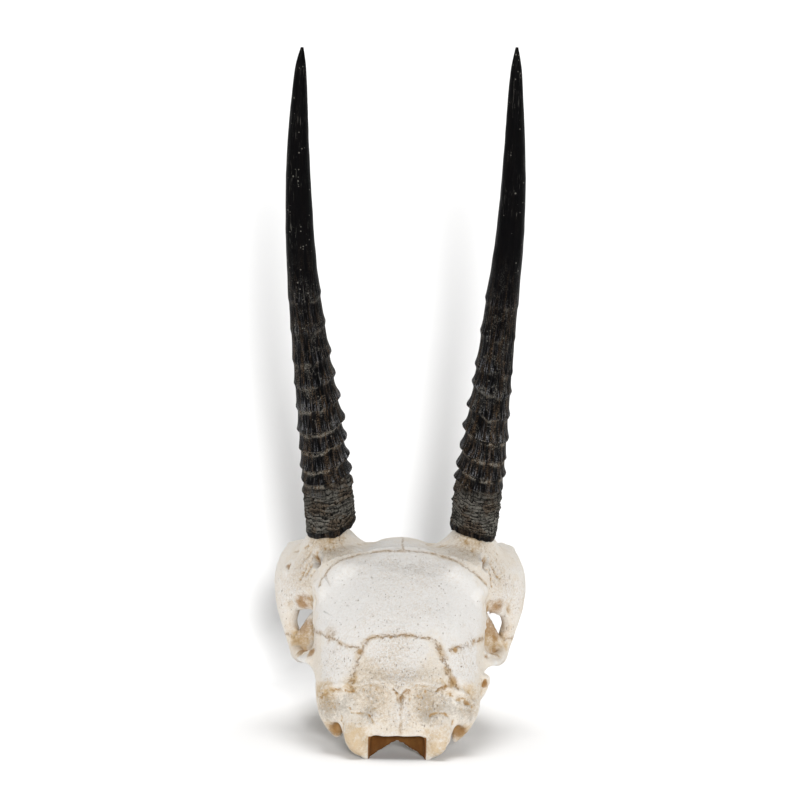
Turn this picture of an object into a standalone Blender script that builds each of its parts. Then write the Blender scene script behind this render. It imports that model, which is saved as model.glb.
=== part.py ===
"""Skull of a small horned antelope: one cranium, two horn sheaths and twelve cheek teeth.

The skull stands as it would on a table, on its occipital condyles and last molars, nose towards -Y.
Lengths are written in millimetres and turned into metres by MM. +X is the animal's left.
"""

import math

import bmesh
import bpy
from mathutils import Matrix, Vector

MM = 0.001
LEFT, RIGHT = 1, -1

# How finely the bone is fused, how much it is softened, and the share of triangles its solid keeps
FUSE_VOXEL = 0.8
SOFTEN_PASSES = 6
KEPT_SHARE = 0.034

# The tooth rows: how far the palate is tipped up, where the last molars touch, and their crowns
PALATE_TILT = math.radians(15.4)
LAST_MOLAR_Y = -3.0
CROWN_HEIGHT = 7.5
SOCKET_DEPTH = 3.5
TOOTH_GAP = 0.45

# The trough in the jaw: how far below the crowns' necks it is open, and its half width by tooth width
TROUGH_DROP = 5.0
TROUGH_SHARE = 0.415

# Sheaths: how deep the bony core reaches in, the room round it, and how the rim slants near the foot
CORE_REACH = 9.0
CORE_GAP = 0.7
RIM_SLANT = 2.2
SLANTED_LENGTH = 16.0
RIM_INSET = 0.7
HORN_SIDES = 16

# Each ring of a sheath: the step under its lip, how far it is cut back, and the share of the lip modelled
LIP_STEP = 0.8
LIP_UNDERCUT = 0.25
LIP_SHARE = 0.8

# The bone round the brain, and the angle from which an edge is drawn sharp
BRAIN_WALL = 3.2
SHARP_ANGLE = math.radians(50)


def clear_scene():
    for thing in list(bpy.data.objects):
        bpy.data.objects.remove(thing)


def material(name, colour, roughness):
    made = bpy.data.materials.new(name)
    made.use_nodes = True
    shader = made.node_tree.nodes["Principled BSDF"]
    shader.inputs["Base Color"].default_value = (*colour, 1.0)
    shader.inputs["Roughness"].default_value = roughness
    shader.inputs["Metallic"].default_value = 0.0
    return made


def object_from(bm, name, finish=None):
    """An object that holds the shape, turned from millimetres into metres."""
    bmesh.ops.recalc_face_normals(bm, faces=bm.faces)
    bmesh.ops.scale(bm, vec=(MM, MM, MM), verts=bm.verts)
    mesh = bpy.data.meshes.new(name)
    bm.to_mesh(mesh)
    bm.free()
    mesh.shade_smooth()
    mesh.set_sharp_from_angle(angle=SHARP_ANGLE)
    made = bpy.data.objects.new(name, mesh)
    bpy.context.scene.collection.objects.link(made)
    if finish:
        mesh.materials.append(finish)
    return made


def catmull(before, start, end, after, share):
    """A smooth value between start and end, for numbers or tuples of numbers."""
    if isinstance(start, tuple):
        return tuple(catmull(*four, share) for four in zip(before, start, end, after))
    slope_in, slope_out = (end - before) / 2, (after - start) / 2
    rest = end - start
    square, cube = 3 * rest - 2 * slope_in - slope_out, slope_in + slope_out - 2 * rest
    return start + share * (slope_in + share * (square + share * cube))


def smooth_run(stations, steps, closed=False):
    """Stations with smooth ones put between them, steps to each gap."""
    count = len(stations)
    run = []
    for index in range(count if closed else count - 1):
        if closed:
            four = [stations[(index + offset) % count] for offset in (-1, 0, 1, 2)]
        else:
            four = [stations[min(max(index + offset, 0), count - 1)] for offset in (-1, 0, 1, 2)]
        run += [catmull(*four, step / steps) for step in range(steps)]
    return run if closed else run + [stations[-1]]


def skin(bm, rings, closed=False):
    """Wraps a grid round a run of rings of equal length; an open run gets a cap at each end."""
    rows, around = len(rings), len(rings[0])
    if closed:
        rings, rows = rings + rings[:1], rows + 1
    grid = bmesh.ops.create_grid(bm, x_segments=around, y_segments=rows - 1)["verts"]
    for index, vert in enumerate(grid):
        row, column = divmod(index, around + 1)
        vert.co = rings[row][column % around]
    bmesh.ops.remove_doubles(bm, verts=grid, dist=1e-5)
    rims = [edge for edge in bm.edges if edge.is_boundary]
    if rims:
        bmesh.ops.holes_fill(bm, edges=rims, sides=around)


def section(bottom, top, half_width, taper=0.0, power=2.0, sides=28):
    """A rounded cross-section that stands on bottom and reaches top, points (y, z) on the midline.

    taper narrows its upper half, and power over 2 squares its corners.
    """
    foot, head = Vector((0, *bottom)), Vector((0, *top))
    middle, rise = (foot + head) / 2, (head - foot) / 2
    ring = []
    for step in range(sides):
        angle = math.tau * step / sides
        across, up = math.cos(angle), math.sin(angle)
        across = math.copysign(abs(across) ** (2 / power), across)
        up = math.copysign(abs(up) ** (2 / power), up)
        ring.append(middle + rise * up + Vector((half_width * across * (1 - taper * up), 0, 0)))
    return ring


def midline_loft(bm, stations, steps=3):
    """A body on the midline, through stations of (bottom, top, half width, taper, power)."""
    skin(bm, [section(*station) for station in smooth_run(stations, steps)])


def upright_loft(bm, stations, steps=3):
    """A midline body with upright sections, through stations of (y, low, high, half width, taper)."""
    midline_loft(bm, [((y, low), (y, high), wide, taper, 2.3) for y, low, high, wide, taper in stations],
                 steps)


def ring_round(centre, along, radius, sides, flat=1.0, across=(1, 0, 0)):
    """Points round a centre, square to along; flat under 1 thins them in the across direction."""
    thin = Vector(across)
    thin = (thin - along * thin.dot(along)).normalized()
    wide = along.cross(thin)
    turns = [math.tau * step / sides for step in range(sides)]
    return [centre + (thin * (math.cos(turn) * flat) + wide * math.sin(turn)) * radius for turn in turns]


def tube(bm, stations, steps=3, sides=14, closed=False, flat=1.0, across=(1, 0, 0)):
    """A bar through stations of (x, y, z, radius)."""
    run = smooth_run(stations, steps, closed)
    rings = []
    for index, station in enumerate(run):
        ahead = run[(index + 1) % len(run)] if closed else run[min(index + 1, len(run) - 1)]
        behind = run[index - 1] if closed else run[max(index - 1, 0)]
        along = (Vector(ahead[:3]) - Vector(behind[:3])).normalized()
        rings.append(ring_round(Vector(station[:3]), along, station[3], sides, flat, across))
    skin(bm, rings, closed)


def add_to(bm, part):
    """Moves the faces of one shape into another."""
    mesh = bpy.data.meshes.new("part")
    part.to_mesh(mesh)
    part.free()
    bm.from_mesh(mesh)
    bpy.data.meshes.remove(mesh)


def hull(bm, balls):
    """The tight skin over balls of (x, y, z, radius)."""
    part = bmesh.new()
    for x, y, z, radius in balls:
        place = Matrix.Translation((x, y, z))
        bmesh.ops.create_icosphere(part, subdivisions=2, radius=radius, matrix=place)
    bmesh.ops.delete(part, geom=part.edges[:], context="EDGES_FACES")
    made = bmesh.ops.convex_hull(part, input=part.verts)
    inside = set(made["geom_interior"] + made["geom_unused"])
    spare = [item for item in inside if isinstance(item, bmesh.types.BMVert)]
    bmesh.ops.delete(part, geom=spare, context="VERTS")
    add_to(bm, part)


def egg(bm, centre, radii, turn=0.0):
    """An ellipsoid, turned about X by turn degrees."""
    place = Matrix.Translation(centre) @ Matrix.Rotation(math.radians(turn), 4, "X")
    place = place @ Matrix.Diagonal((*radii, 1))
    bmesh.ops.create_icosphere(bm, subdivisions=3, radius=1.0, matrix=place)


def on_palate(forward, up):
    """(y, z) of a place along the tooth row: forward of the last molar's back, up from the crowns."""
    across, rise = math.cos(PALATE_TILT), math.sin(PALATE_TILT)
    return LAST_MOLAR_Y - forward * across + up * rise, forward * rise + up * across


# Midline bodies of the cranium

BRAINCASE = [
    # bottom (y, z), top (y, z), half width, taper, power
    ((62.0, 3.6), (72.6, 15.0), 15.0, 0.0, 2.2),
    ((57.3, 4.5), (73.8, 22.0), 20.0, 0.0, 2.3),
    ((50.2, 8.2), (71.8, 30.2), 23.0, 0.0, 2.4),
    ((42.5, 13.4), (67.4, 39.8), 25.0, 0.0, 2.5),
    ((33.5, 21.2), (60.1, 48.8), 26.3, 0.0, 2.5),
    ((26.1, 30.0), (51.6, 56.8), 26.3, 0.0, 2.5),
    ((20.0, 35.0), (43.0, 61.0), 24.0, 0.0, 2.4),
    ((14.0, 37.0), (33.0, 60.5), 19.5, 0.0, 2.2),
    ((6.0, 37.0), (18.0, 58.0), 13.0, 0.0, 2.0),
    ((-4.0, 36.0), (0.0, 55.0), 10.0, 0.0, 2.0),
    ((-12.0, 35.0), (-12.0, 53.0), 10.0, 0.0, 2.0),
]

FOREHEAD = [
    # y, low, high, half width, taper
    (52.0, 52.0, 56.4, 18.0, 0.0),
    (43.0, 51.5, 59.6, 26.5, 0.1),
    (35.0, 50.5, 60.3, 32.0, 0.1),
    (25.0, 50.0, 59.6, 33.4, 0.1),
    (15.0, 49.5, 58.6, 32.0, 0.1),
    (5.0, 48.5, 57.4, 28.0, 0.1),
    (-4.0, 47.0, 56.2, 22.5, 0.1),
    (-14.0, 46.0, 54.6, 18.0, 0.1),
    (-24.0, 45.0, 52.6, 10.0, 0.1),
]

SNOUT = [
    (8.0, 13.0, 24.0, 14.0, 0.0),
    (2.0, 8.4, 32.0, 19.5, 0.0),
    (-7.0, 9.6, 46.0, 22.0, 0.15),
    (-17.0, 11.9, 53.4, 22.5, 0.40),
    (-29.0, 15.2, 52.4, 20.3, 0.48),
    (-40.0, 18.2, 51.1, 16.0, 0.42),
    (-50.0, 21.2, 49.6, 12.6, 0.30),
    (-58.0, 23.6, 47.6, 10.4, 0.15),
    (-66.0, 26.0, 42.0, 9.2, 0.0),
    (-74.0, 28.4, 36.0, 8.2, 0.0),
    (-80.2, 30.4, 33.0, 5.6, 0.0),
]

MIDDLE_WALL = [
    (-12.0, 26.0, 46.0, 9.0, 0.0),
    (0.0, 25.0, 42.0, 9.0, 0.0),
    (12.0, 26.0, 41.0, 9.0, 0.0),
    (24.0, 24.0, 40.0, 10.0, 0.0),
    (36.0, 18.0, 34.0, 10.0, 0.0),
]

# Paired bars, as (x, y, z, radius) on the animal's left

ORBIT_RING = [
    (31.4, 14.0, 55.6, 3.3),
    (33.6, 23.0, 54.6, 4.2),
    (35.6, 28.5, 49.0, 4.2),
    (35.4, 31.0, 42.0, 3.8),
    (34.0, 31.0, 35.0, 3.2),
    (31.8, 28.5, 28.0, 3.1),
    (30.8, 20.0, 23.8, 3.3),
    (30.2, 9.0, 23.4, 3.4),
    (28.0, -0.5, 27.5, 3.5),
    (23.9, -6.5, 35.0, 3.6),
    (22.6, -7.5, 44.0, 3.6),
    (25.4, -2.5, 51.0, 3.4),
    (28.8, 5.0, 54.6, 3.2),
]

CHEEK_BAR = [
    (31.4, 24.0, 24.6, 3.2),
    (31.6, 33.0, 26.3, 2.8),
    (30.4, 42.0, 26.9, 2.3),
    (27.6, 49.0, 27.0, 2.4),
    (22.0, 54.0, 27.0, 4.4),
]

NUCHAL_CREST = [
    (0.0, 74.3, 22.3, 1.7),
    (4.0, 74.0, 23.6, 1.7),
    (8.5, 72.6, 24.8, 1.7),
    (14.0, 70.2, 24.8, 1.7),
    (19.0, 67.4, 23.2, 1.8),
    (22.6, 64.6, 20.2, 1.9),
    (23.0, 62.6, 15.0, 2.0),
]

EAR_CREST = [
    (27.0, 51.5, 27.6, 2.4),
    (24.0, 56.5, 25.6, 2.4),
    (23.4, 61.0, 23.0, 2.2),
    (22.6, 64.6, 20.2, 2.0),
]

CONDYLE_BALLS = [
    (12.8, 67.0, 12.4, 3.0),
    (13.4, 70.2, 9.8, 3.4),
    (13.0, 71.4, 7.2, 3.8),
    (11.6, 70.4, 3.7, 3.3),
    (10.2, 66.4, 2.2, 2.5),
    (5.8, 60.4, 5.6, 2.2),
    (11.6, 62.0, 9.0, 2.6),
]

# The horn's centre line on the animal's left, with the sheath's radius

HORN_LINE = [
    (22.1, 35.0, 64.6, 6.9),
    (24.9, 46.9, 93.7, 6.2),
    (28.1, 57.7, 123.9, 5.0),
    (31.0, 66.5, 153.3, 4.15),
    (32.0, 73.4, 182.0, 3.0),
    (31.8, 77.6, 203.1, 1.7),
    (31.4, 79.5, 213.3, 0.4),
]

# Ring lips up each horn: distance from the foot, and how far the lip stands out

RING_LIPS = {
    LEFT: [(4.0, 0.25), (8.0, 0.35), (12.0, 0.35), (16.6, 0.5), (21.0, 0.7), (26.0, 0.8), (32.4, 0.85),
           (38.4, 0.85), (46.0, 0.8), (53.6, 0.7), (60.8, 0.6), (70.3, 0.45), (80.0, 0.35)],
    RIGHT: [(4.0, 0.25), (7.8, 0.35), (10.8, 0.4), (14.9, 0.5), (19.2, 0.65), (23.9, 0.8), (29.9, 0.85),
            (36.5, 0.85), (44.0, 0.8), (51.5, 0.75), (58.0, 0.6), (68.5, 0.4), (79.0, 0.4)],
}
SMOOTH_RINGS = (92, 104, 116, 127, 137, 145, 151)

# Cheek teeth from the back: length along the row, width across it, how far out its middle is
CHEEK_TEETH = [
    ("molar_3", 9.6, 7.6, 17.6),
    ("molar_2", 9.4, 8.6, 17.8),
    ("molar_1", 8.6, 8.6, 17.0),
    ("premolar_4", 6.8, 7.8, 15.6),
    ("premolar_3", 6.4, 6.4, 13.9),
    ("premolar_2", 5.6, 5.2, 12.1),
]


# A cheek tooth seen from its crown, as shares of its half length and half width, outer face first
TOOTH_OUTLINE = [(-0.96, 0.95), (-0.5, 0.8), (0.0, 1.0), (0.5, 0.8), (0.96, 0.95), (1.0, -0.3), (0.55, -1.0),
                 (0.0, -0.72), (-0.55, -1.0), (-1.0, -0.3)]


class HornPath:
    """A horn's centre line by distance from the sheath's foot."""

    def __init__(self, side):
        self.side = side
        self.run = smooth_run(HORN_LINE, 16)
        self.marks = [0.0]
        for start, end in zip(self.run, self.run[1:]):
            self.marks.append(self.marks[-1] + (Vector(end[:3]) - Vector(start[:3])).length)

    @property
    def length(self):
        return self.marks[-1]

    def at(self, distance):
        """Centre, direction and sheath radius; before the foot the line runs straight on."""
        gap = 1
        while gap < len(self.marks) - 1 and self.marks[gap] < distance:
            gap += 1
        start, end = Vector(self.run[gap - 1]), Vector(self.run[gap])
        share = (distance - self.marks[gap - 1]) / (self.marks[gap] - self.marks[gap - 1])
        point = start.lerp(end, share)
        along = (end - start).to_3d().normalized()
        return (
            Vector((self.side * point.x, point.y, point.z)),
            Vector((self.side * along.x, along.y, along.z)),
            point[3],
        )

    def ring(self, distance, radius):
        """Points round the horn; near the foot the side towards the other horn sits higher."""
        centre, along, _ = self.at(distance)
        points = ring_round(centre, along, radius, HORN_SIDES)
        slant = RIM_SLANT * max(0.0, 1 - max(distance, 0) / SLANTED_LENGTH)
        lifted = []
        for point in points:
            inward = -self.side * (point - centre).x / radius
            lifted.append(point + along * slant * (0.5 + 0.5 * inward))
        return lifted


def horn_sheath(side, name, finish):
    """A ringed, tapering sheath with a socket at its foot for the bony core."""
    path = HornPath(side)
    profile = [(0.0, path.at(0.0)[2] - RIM_INSET), (1.0, path.at(1.0)[2])]
    for distance, lip in RING_LIPS[side]:
        radius = path.at(distance)[2]
        profile += [(distance - LIP_STEP, radius - LIP_UNDERCUT), (distance, radius + lip * LIP_SHARE)]
    profile += [(distance, path.at(distance)[2]) for distance in (*SMOOTH_RINGS, path.length)]
    socket_top = CORE_REACH + CORE_GAP
    socket = [(socket_top, 4.2), (CORE_REACH - 1, core_radius(CORE_REACH - 1) + CORE_GAP),
              (0.0, core_radius(0.0) + CORE_GAP)]
    bm = bmesh.new()
    skin(bm, [path.ring(distance, radius) for distance, radius in socket + profile])
    return object_from(bm, name, finish)


def core_radius(distance):
    return 4.9 - 0.06 * distance


def pedicle(bm, side):
    """The flared foot of a horn on the forehead, and the core that stands in the sheath."""
    path = HornPath(side)
    skirt = [(-13.0, 13.0), (-8.0, 11.0), (-4.5, 8.6), (-2.0, 7.0), (-0.9, 6.5)]
    core = [(0.4, core_radius(0.0)), (CORE_REACH - 1.0, core_radius(CORE_REACH)), (CORE_REACH, 3.4)]
    tube(bm, [(*path.at(distance)[0], radius) for distance, radius in skirt + core], sides=20)
    hull(bm, [(side * 17.8, 35.2, 62.6, 2.6), (side * 20.5, 36.5, 61.6, 3.4), (side * 12.0, 36.5, 57.6, 3.6),
              (side * 18.0, 31.0, 61.0, 3.0)])


def add_side(bm, side):
    """The paired bones of one side: orbit, cheek, ear, condyle and what hangs beside it."""

    def mirrored(stations):
        return [(side * x, y, z, radius) for x, y, z, radius in stations]

    tube(bm, mirrored(ORBIT_RING), closed=True, sides=16, flat=0.85)
    # plate behind the orbit, from the forehead's edge down to the bar behind the eye
    hull(bm, mirrored([(22.0, 43.5, 53.5, 4.5), (32.4, 25, 54.6, 3.8), (34.8, 28.5, 50, 3.8), (35.0, 31, 43, 3.2),
                       (24.6, 43.0, 48, 2.8), (31.0, 35.4, 45.4, 2.6)]))
    hull(bm, mirrored([(34.8, 31, 44, 3.0), (31.2, 34.4, 42.6, 2.0), (34.0, 31.0, 36, 2.4)]))
    # rounded corner where the forehead meets the braincase
    hull(bm, mirrored([(16, 50, 54.0, 3.6), (22.2, 45.5, 54.4, 3.4), (26, 37, 55.5, 3.6), (22.6, 50.5, 47.5, 3.4),
                       (24.0, 44, 47, 2.8), (14, 42, 57.2, 3.4)]))
    # corner of the forehead in front of the eye
    hull(bm, mirrored([(25.4, -2, 50.4, 3.2), (22.6, -7, 44, 3.2), (13, -15, 49, 4), (18, 8, 53, 4),
                       (28, 6, 53.8, 2.6)]))
    # cheek in front of and below the eye
    hull(bm, mirrored([(22.4, -7, 43, 3), (22.9, -6, 34, 3.2), (15.5, -25, 44, 3), (17, -27, 25, 4)]))
    hull(bm, mirrored([(23.4, -5, 34, 3.2), (26.9, 0, 26.5, 3.2), (19.0, -20, 23, 4), (18.5, -2, 20, 4),
                       (29.8, 9, 23.4, 2.8)]))
    # cheek bar and its root on the braincase
    tube(bm, mirrored(CHEEK_BAR), flat=0.75)
    hull(bm, mirrored([(29.4, 47.5, 26.4, 1.7), (22, 49, 24, 2.8), (27.8, 52, 26.2, 1.8), (21, 56, 27, 4),
                       (26.5, 45, 26.6, 1.6)]))
    # mastoid and the ear's crest
    hull(bm, mirrored([(20.6, 64.0, 19.5, 3.4), (22.0, 56, 20, 3.6), (21.9, 63.6, 12.6, 2.5), (19.6, 61.5, 8.2, 2.4),
                       (19.0, 54, 12, 3), (14, 69.0, 18, 3.4), (15, 67.5, 11, 3)]))
    tube(bm, mirrored(EAR_CREST))
    tube(bm, mirrored(NUCHAL_CREST), sides=12)
    # bulla
    egg(bm, (side * 13.8, 45.0, 11.2), (5.8, 9.5, 6.4), 35)
    hull(bm, mirrored([(14.5, 50, 13, 5), (19, 53, 15, 3.5), (15, 42, 15, 4)]))
    # paracondylar process
    hull(bm, mirrored([(20.4, 64.0, 12.5, 2.6), (19.8, 60.5, 10, 2.8), (18.4, 61.0, 5.6, 1.5),
                       (17.8, 58, 4.6, 1.4)]))
    hull(bm, mirrored(CONDYLE_BALLS))
    # plate behind the palate
    hull(bm, mirrored([(8, 34, 22, 2.2), (8.6, 22, 30, 2.4), (8.8, 3, 13.0, 1.6), (8.8, 4, 26, 2.2)]))
    pedicle(bm, side)


def raw_bone():
    """All the bones of the cranium as shapes that run into each other."""
    bm = bmesh.new()
    midline_loft(bm, BRAINCASE)
    for stations in (FOREHEAD, SNOUT, MIDDLE_WALL):
        upright_loft(bm, stations)
    # low roof ridge of the forehead, and the shield of the occiput
    tube(bm, [(0, 12, 56.4, 1.6), (0, 24, 59.0, 2.2), (0, 37, 60.0, 2.4), (0, 46, 58.0, 1.8)], flat=3.5)
    hull(bm, [(0, 71.6, 20.4, 3.0), (9, 69.6, 21.8, 3.2), (-9, 69.6, 21.8, 3.2), (8, 71.4, 10.2, 2.4),
              (-8, 71.4, 10.2, 2.4), (16, 66.6, 20, 3), (-16, 66.6, 20, 3)])
    # floor of the braincase, from the great opening forward to the back of the palate
    tube(bm, [(0, 60.4, 6.6, 2.4), (0, 55, 9.0, 4.0), (0, 45, 13.5, 5.5), (0, 33, 21.5, 5.5), (0, 20, 28, 4.5),
              (0, 8, 30, 3.5)], flat=1.9)
    # ear tubes: the right one is longer, with a broken end
    tube(bm, [(20, 52, 15, 4.0), (22.6, 54, 18.5, 3.2), (23.6, 55, 19.8, 2.4)])
    tube(bm, [(-20, 52, 15, 4.0), (-23.5, 54.0, 19.0, 3.6), (-25.6, 55, 20.4, 3.2)])
    for side in (LEFT, RIGHT):
        add_side(bm, side)
    return bm


def hollows():
    """The shapes that are cut out of the bone, by name."""
    made = {}

    made["cut_brain"] = bm = bmesh.new()
    inner = []
    for bottom, top, half_width, taper, power in BRAINCASE[2:8]:
        foot, head = Vector(bottom), Vector(top)
        up = (head - foot).normalized() * BRAIN_WALL
        inner.append((tuple(foot + up * 1.4), tuple(head - up), half_width - BRAIN_WALL, taper, power))
    midline_loft(bm, inner)

    # the great opening: a notch between the condyles that narrows forwards, and the way up to the brain
    made["cut_notch"] = bm = bmesh.new()
    hull(bm, [(side * x, y, z, 0.8) for side in (LEFT, RIGHT) for x, y in ((8.0, 84), (8.0, 68.0), (2.4, 61.4))
              for z in (-4, 6.6)])
    made["cut_great_opening"] = bm = bmesh.new()
    hull(bm, [(side * x, y, z, 2.0) for side in (LEFT, RIGHT) for x, y, z in
              ((6.6, 68.4, 4), (2.4, 62.2, 4), (6.2, 64.0, 18), (3.0, 58.0, 16))])

    made["cut_nose"] = bm = bmesh.new()
    upright_loft(bm, [
        (-92.0, 34.5, 60.0, 6.2, 0.0),
        (-76.0, 32.0, 54.0, 6.0, 0.0),
        (-64.0, 29.5, 50.0, 7.0, 0.0),
        (-57.0, 28.0, 45.6, 7.6, 0.1),
        (-44.0, 26.0, 46.6, 9.0, 0.3),
        (-30.0, 24.0, 47.5, 11.5, 0.4),
        (-16.0, 25.0, 46.0, 9.0, 0.4),
    ])

    made["cut_throat"] = bm = bmesh.new()
    upright_loft(bm, [
        (34.0, 2.0, 14.5, 7.0, 0.0),
        (24.0, 6.0, 22.0, 6.6, 0.0),
        (14.0, 10.0, 25.6, 6.4, 0.0),
        (2.0, 13.5, 26.5, 6.2, 0.0),
        (-12.0, 18.0, 28.0, 6.0, 0.0),
        (-22.0, 24.0, 32.0, 5.0, 0.0),
    ])

    made["cut_palate"] = bm = bmesh.new()
    vault = [(-4, 10.2, 2.6), (6, 10.6, 3.2), (20, 10.0, 3.2), (36, 8.0, 3.0), (50, 6.0, 2.4), (66, 4.5, 1.6),
             (78, 2.6, 0.4)]
    midline_loft(bm, [(on_palate(forward, -4), on_palate(forward, CROWN_HEIGHT + deep), half_width, 0.0, 2.6)
                      for forward, half_width, deep in vault])

    for side, word in ((LEFT, "left"), (RIGHT, "right")):
        # hollow in front of the eye, slit beside the nasal bones, opening in the front of the palate
        made["cut_cheek_" + word] = bm = bmesh.new()
        egg(bm, (side * 27.5, -17, 37), (7.0, 9.5, 8.0))
        made["cut_slit_" + word] = bm = bmesh.new()
        hull(bm, [(side * 11.6, -26, 50.5, 0.9), (side * 15.6, -13, 51.2, 1.3), (side * 9.0, -18, 44, 1.2)])
        made["cut_front_palate_" + word] = bm = bmesh.new()
        hull(bm, [(side * 3.2, *on_palate(forward, up), 1.6) for forward in (58, 70) for up in (4, 16)])
        made["cut_sockets_" + word] = tooth_trough(side)
        # gap between the condyle and the process beside it
        made["cut_process_" + word] = bm = bmesh.new()
        hull(bm, [(side * 18.0, 76, 10.6, 0.9), (side * 17.8, 62.5, 10.4, 0.8), (side * 19.4, 76, 8.0, 0.9),
                  (side * 17.5, 76, 4.6, 0.6), (side * 17.2, 63, 4.4, 0.5), (side * 18.8, 63.5, 8.0, 0.9)])
    return made


def tooth_places():
    """Each cheek tooth's name, its middle and half length along the row, width and middle across."""
    back = 0.0
    for name, length, width, out in CHEEK_TEETH:
        yield name, back + length / 2, length / 2, width, out
        back += length


def tooth_outline(half_length, width):
    """Points (along, across) round a cheek tooth, with upright ribs on its outer face."""
    half = width / 2
    return [(half_length * along, half * across) for along, across in TOOTH_OUTLINE]


def tooth_ring(side, middle, out, outline, up):
    ring = []
    for along, across in outline:
        y, z = on_palate(middle + along, up)
        ring.append(Vector((side * (out + across), y, z)))
    return ring


def tooth_trough(side):
    """The room in the jaw for one row of teeth, a little wider than they are."""
    bm = bmesh.new()
    rings = []
    ends_of_row = ((0, -1), (len(CHEEK_TEETH) - 1, 1))
    up_low, up_high = CROWN_HEIGHT - TROUGH_DROP, CROWN_HEIGHT + SOCKET_DEPTH + TOOTH_GAP
    for index, (_, middle, half_length, width, out) in enumerate(tooth_places()):
        half = width * TROUGH_SHARE + TOOTH_GAP
        for end in (-1, 1):
            forward = middle + end * half_length
            if (index, end) in ends_of_row:
                forward += end * TOOTH_GAP
            corners = [(-half, up_low), (half, up_low), (half, up_high), (-half, up_high)]
            rings.append([Vector((side * (out + across), *on_palate(forward, up))) for across, up in corners])
    skin(bm, rings)
    return bm


def cheek_teeth(finish):
    for side, word in ((LEFT, "left"), (RIGHT, "right")):
        for name, middle, half_length, width, out in tooth_places():
            snug = half_length - TOOTH_GAP / 2
            crown = tooth_outline(snug, width)
            neck = tooth_outline(snug * 0.9, width * 0.9)
            root = tooth_outline(snug * 0.8, width * 0.62)
            stack = [(crown, 0.0), (neck, CROWN_HEIGHT - 0.6), (root, CROWN_HEIGHT + 0.3),
                     (root, CROWN_HEIGHT + SOCKET_DEPTH)]
            bm = bmesh.new()
            skin(bm, [tooth_ring(side, middle, out, outline, up) for outline, up in stack])
            object_from(bm, f"{name}_{word}", finish)


def cranium(finish):
    """The bones fused into one, hollowed, softened and thinned to a light solid."""
    bone = object_from(raw_bone(), "cranium", finish)

    def fuse(name):
        step = bone.modifiers.new(name, "REMESH")
        step.mode = "VOXEL"
        step.voxel_size = FUSE_VOXEL * MM

    fuse("Fuse")
    for name, shape in hollows().items():
        cutter = object_from(shape, name)
        cutter.hide_render = True
        cutter.display_type = "WIRE"
        cut = bone.modifiers.new(name, "BOOLEAN")
        cut.object = cutter
        cut.solver = "EXACT"
    fuse("Fuse again")
    soften = bone.modifiers.new("Soften", "SMOOTH")
    soften.iterations = SOFTEN_PASSES
    thin = bone.modifiers.new("Thin", "DECIMATE")
    thin.ratio = KEPT_SHARE
    return bone


def stand_on_origin():
    """Moves everything so that the skull's box stands on the origin, centred over it."""
    ready = bpy.context.evaluated_depsgraph_get()
    pieces = [thing for thing in bpy.data.objects if not thing.hide_render]
    points = [corner for piece in pieces for corner in map(Vector, piece.evaluated_get(ready).bound_box)]
    low = Vector([min(point[axis] for point in points) for axis in range(3)])
    high = Vector([max(point[axis] for point in points) for axis in range(3)])
    shift = Vector((-(low.x + high.x) / 2, -(low.y + high.y) / 2, -low.z))
    for thing in bpy.data.objects:
        thing.location = shift


def main():
    clear_scene()
    bone = material("bone", (0.82, 0.76, 0.66), 0.55)
    keratin = material("horn_keratin", (0.035, 0.032, 0.03), 0.4)
    enamel = material("tooth_enamel", (0.78, 0.72, 0.58), 0.3)
    cranium(bone)
    horn_sheath(LEFT, "horn_sheath_left", keratin)
    horn_sheath(RIGHT, "horn_sheath_right", keratin)
    cheek_teeth(enamel)
    stand_on_origin()


main()
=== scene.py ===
"""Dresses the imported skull: weathered bone, ringed horn sheaths, worn cheek teeth and a plain studio.

Lengths in the tables are in millimetres in the skull's own frame: +Z up, the snout towards -Y and the
animal's left towards +X. MM turns them into metres.
"""

import math
import random

import bmesh
import bpy
import numpy as np
from mathutils import Matrix, Quaternion, Vector, noise
from mathutils.bvhtree import BVHTree


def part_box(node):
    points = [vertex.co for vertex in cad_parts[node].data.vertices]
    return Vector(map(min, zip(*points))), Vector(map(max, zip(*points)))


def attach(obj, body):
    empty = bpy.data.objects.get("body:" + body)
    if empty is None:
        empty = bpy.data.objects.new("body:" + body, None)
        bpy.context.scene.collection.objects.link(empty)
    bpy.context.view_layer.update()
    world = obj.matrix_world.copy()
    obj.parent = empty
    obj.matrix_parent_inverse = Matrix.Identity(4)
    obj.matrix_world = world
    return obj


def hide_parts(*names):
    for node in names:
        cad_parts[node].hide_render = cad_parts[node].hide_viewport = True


bl_info = {
    "name": "Antelope Skull",
    "version": (1, 0, 0),
    "blender": (4, 5, 0),
    "location": "View3D > Sidebar > Skull",
    "description": "Models the bone, horns and teeth of a small antelope's skull",
    "category": "Object",
}

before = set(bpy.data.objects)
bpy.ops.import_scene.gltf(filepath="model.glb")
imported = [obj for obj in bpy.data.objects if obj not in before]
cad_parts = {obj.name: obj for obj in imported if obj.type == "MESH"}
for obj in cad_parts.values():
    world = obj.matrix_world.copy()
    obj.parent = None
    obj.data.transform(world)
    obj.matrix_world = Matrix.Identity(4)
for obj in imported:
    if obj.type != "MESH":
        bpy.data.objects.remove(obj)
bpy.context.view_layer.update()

MM = 0.001
LEFT, RIGHT = 1, -1
SIDES = {LEFT: "left", RIGHT: "right"}


# Sizes and colours


def length_value(name, default, description):
    return bpy.props.FloatProperty(name=name, default=default * MM, description=description,
                                   unit="LENGTH", subtype="DISTANCE", precision=5)


def share_value(name, default, description):
    return bpy.props.FloatProperty(name=name, default=default, description=description,
                                   min=0.0, max=1.0, subtype="FACTOR")


def colour_value(name, default, description):
    return bpy.props.FloatVectorProperty(name=name, default=default, description=description,
                                         min=0.0, max=1.0, size=3, subtype="COLOR")


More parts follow.
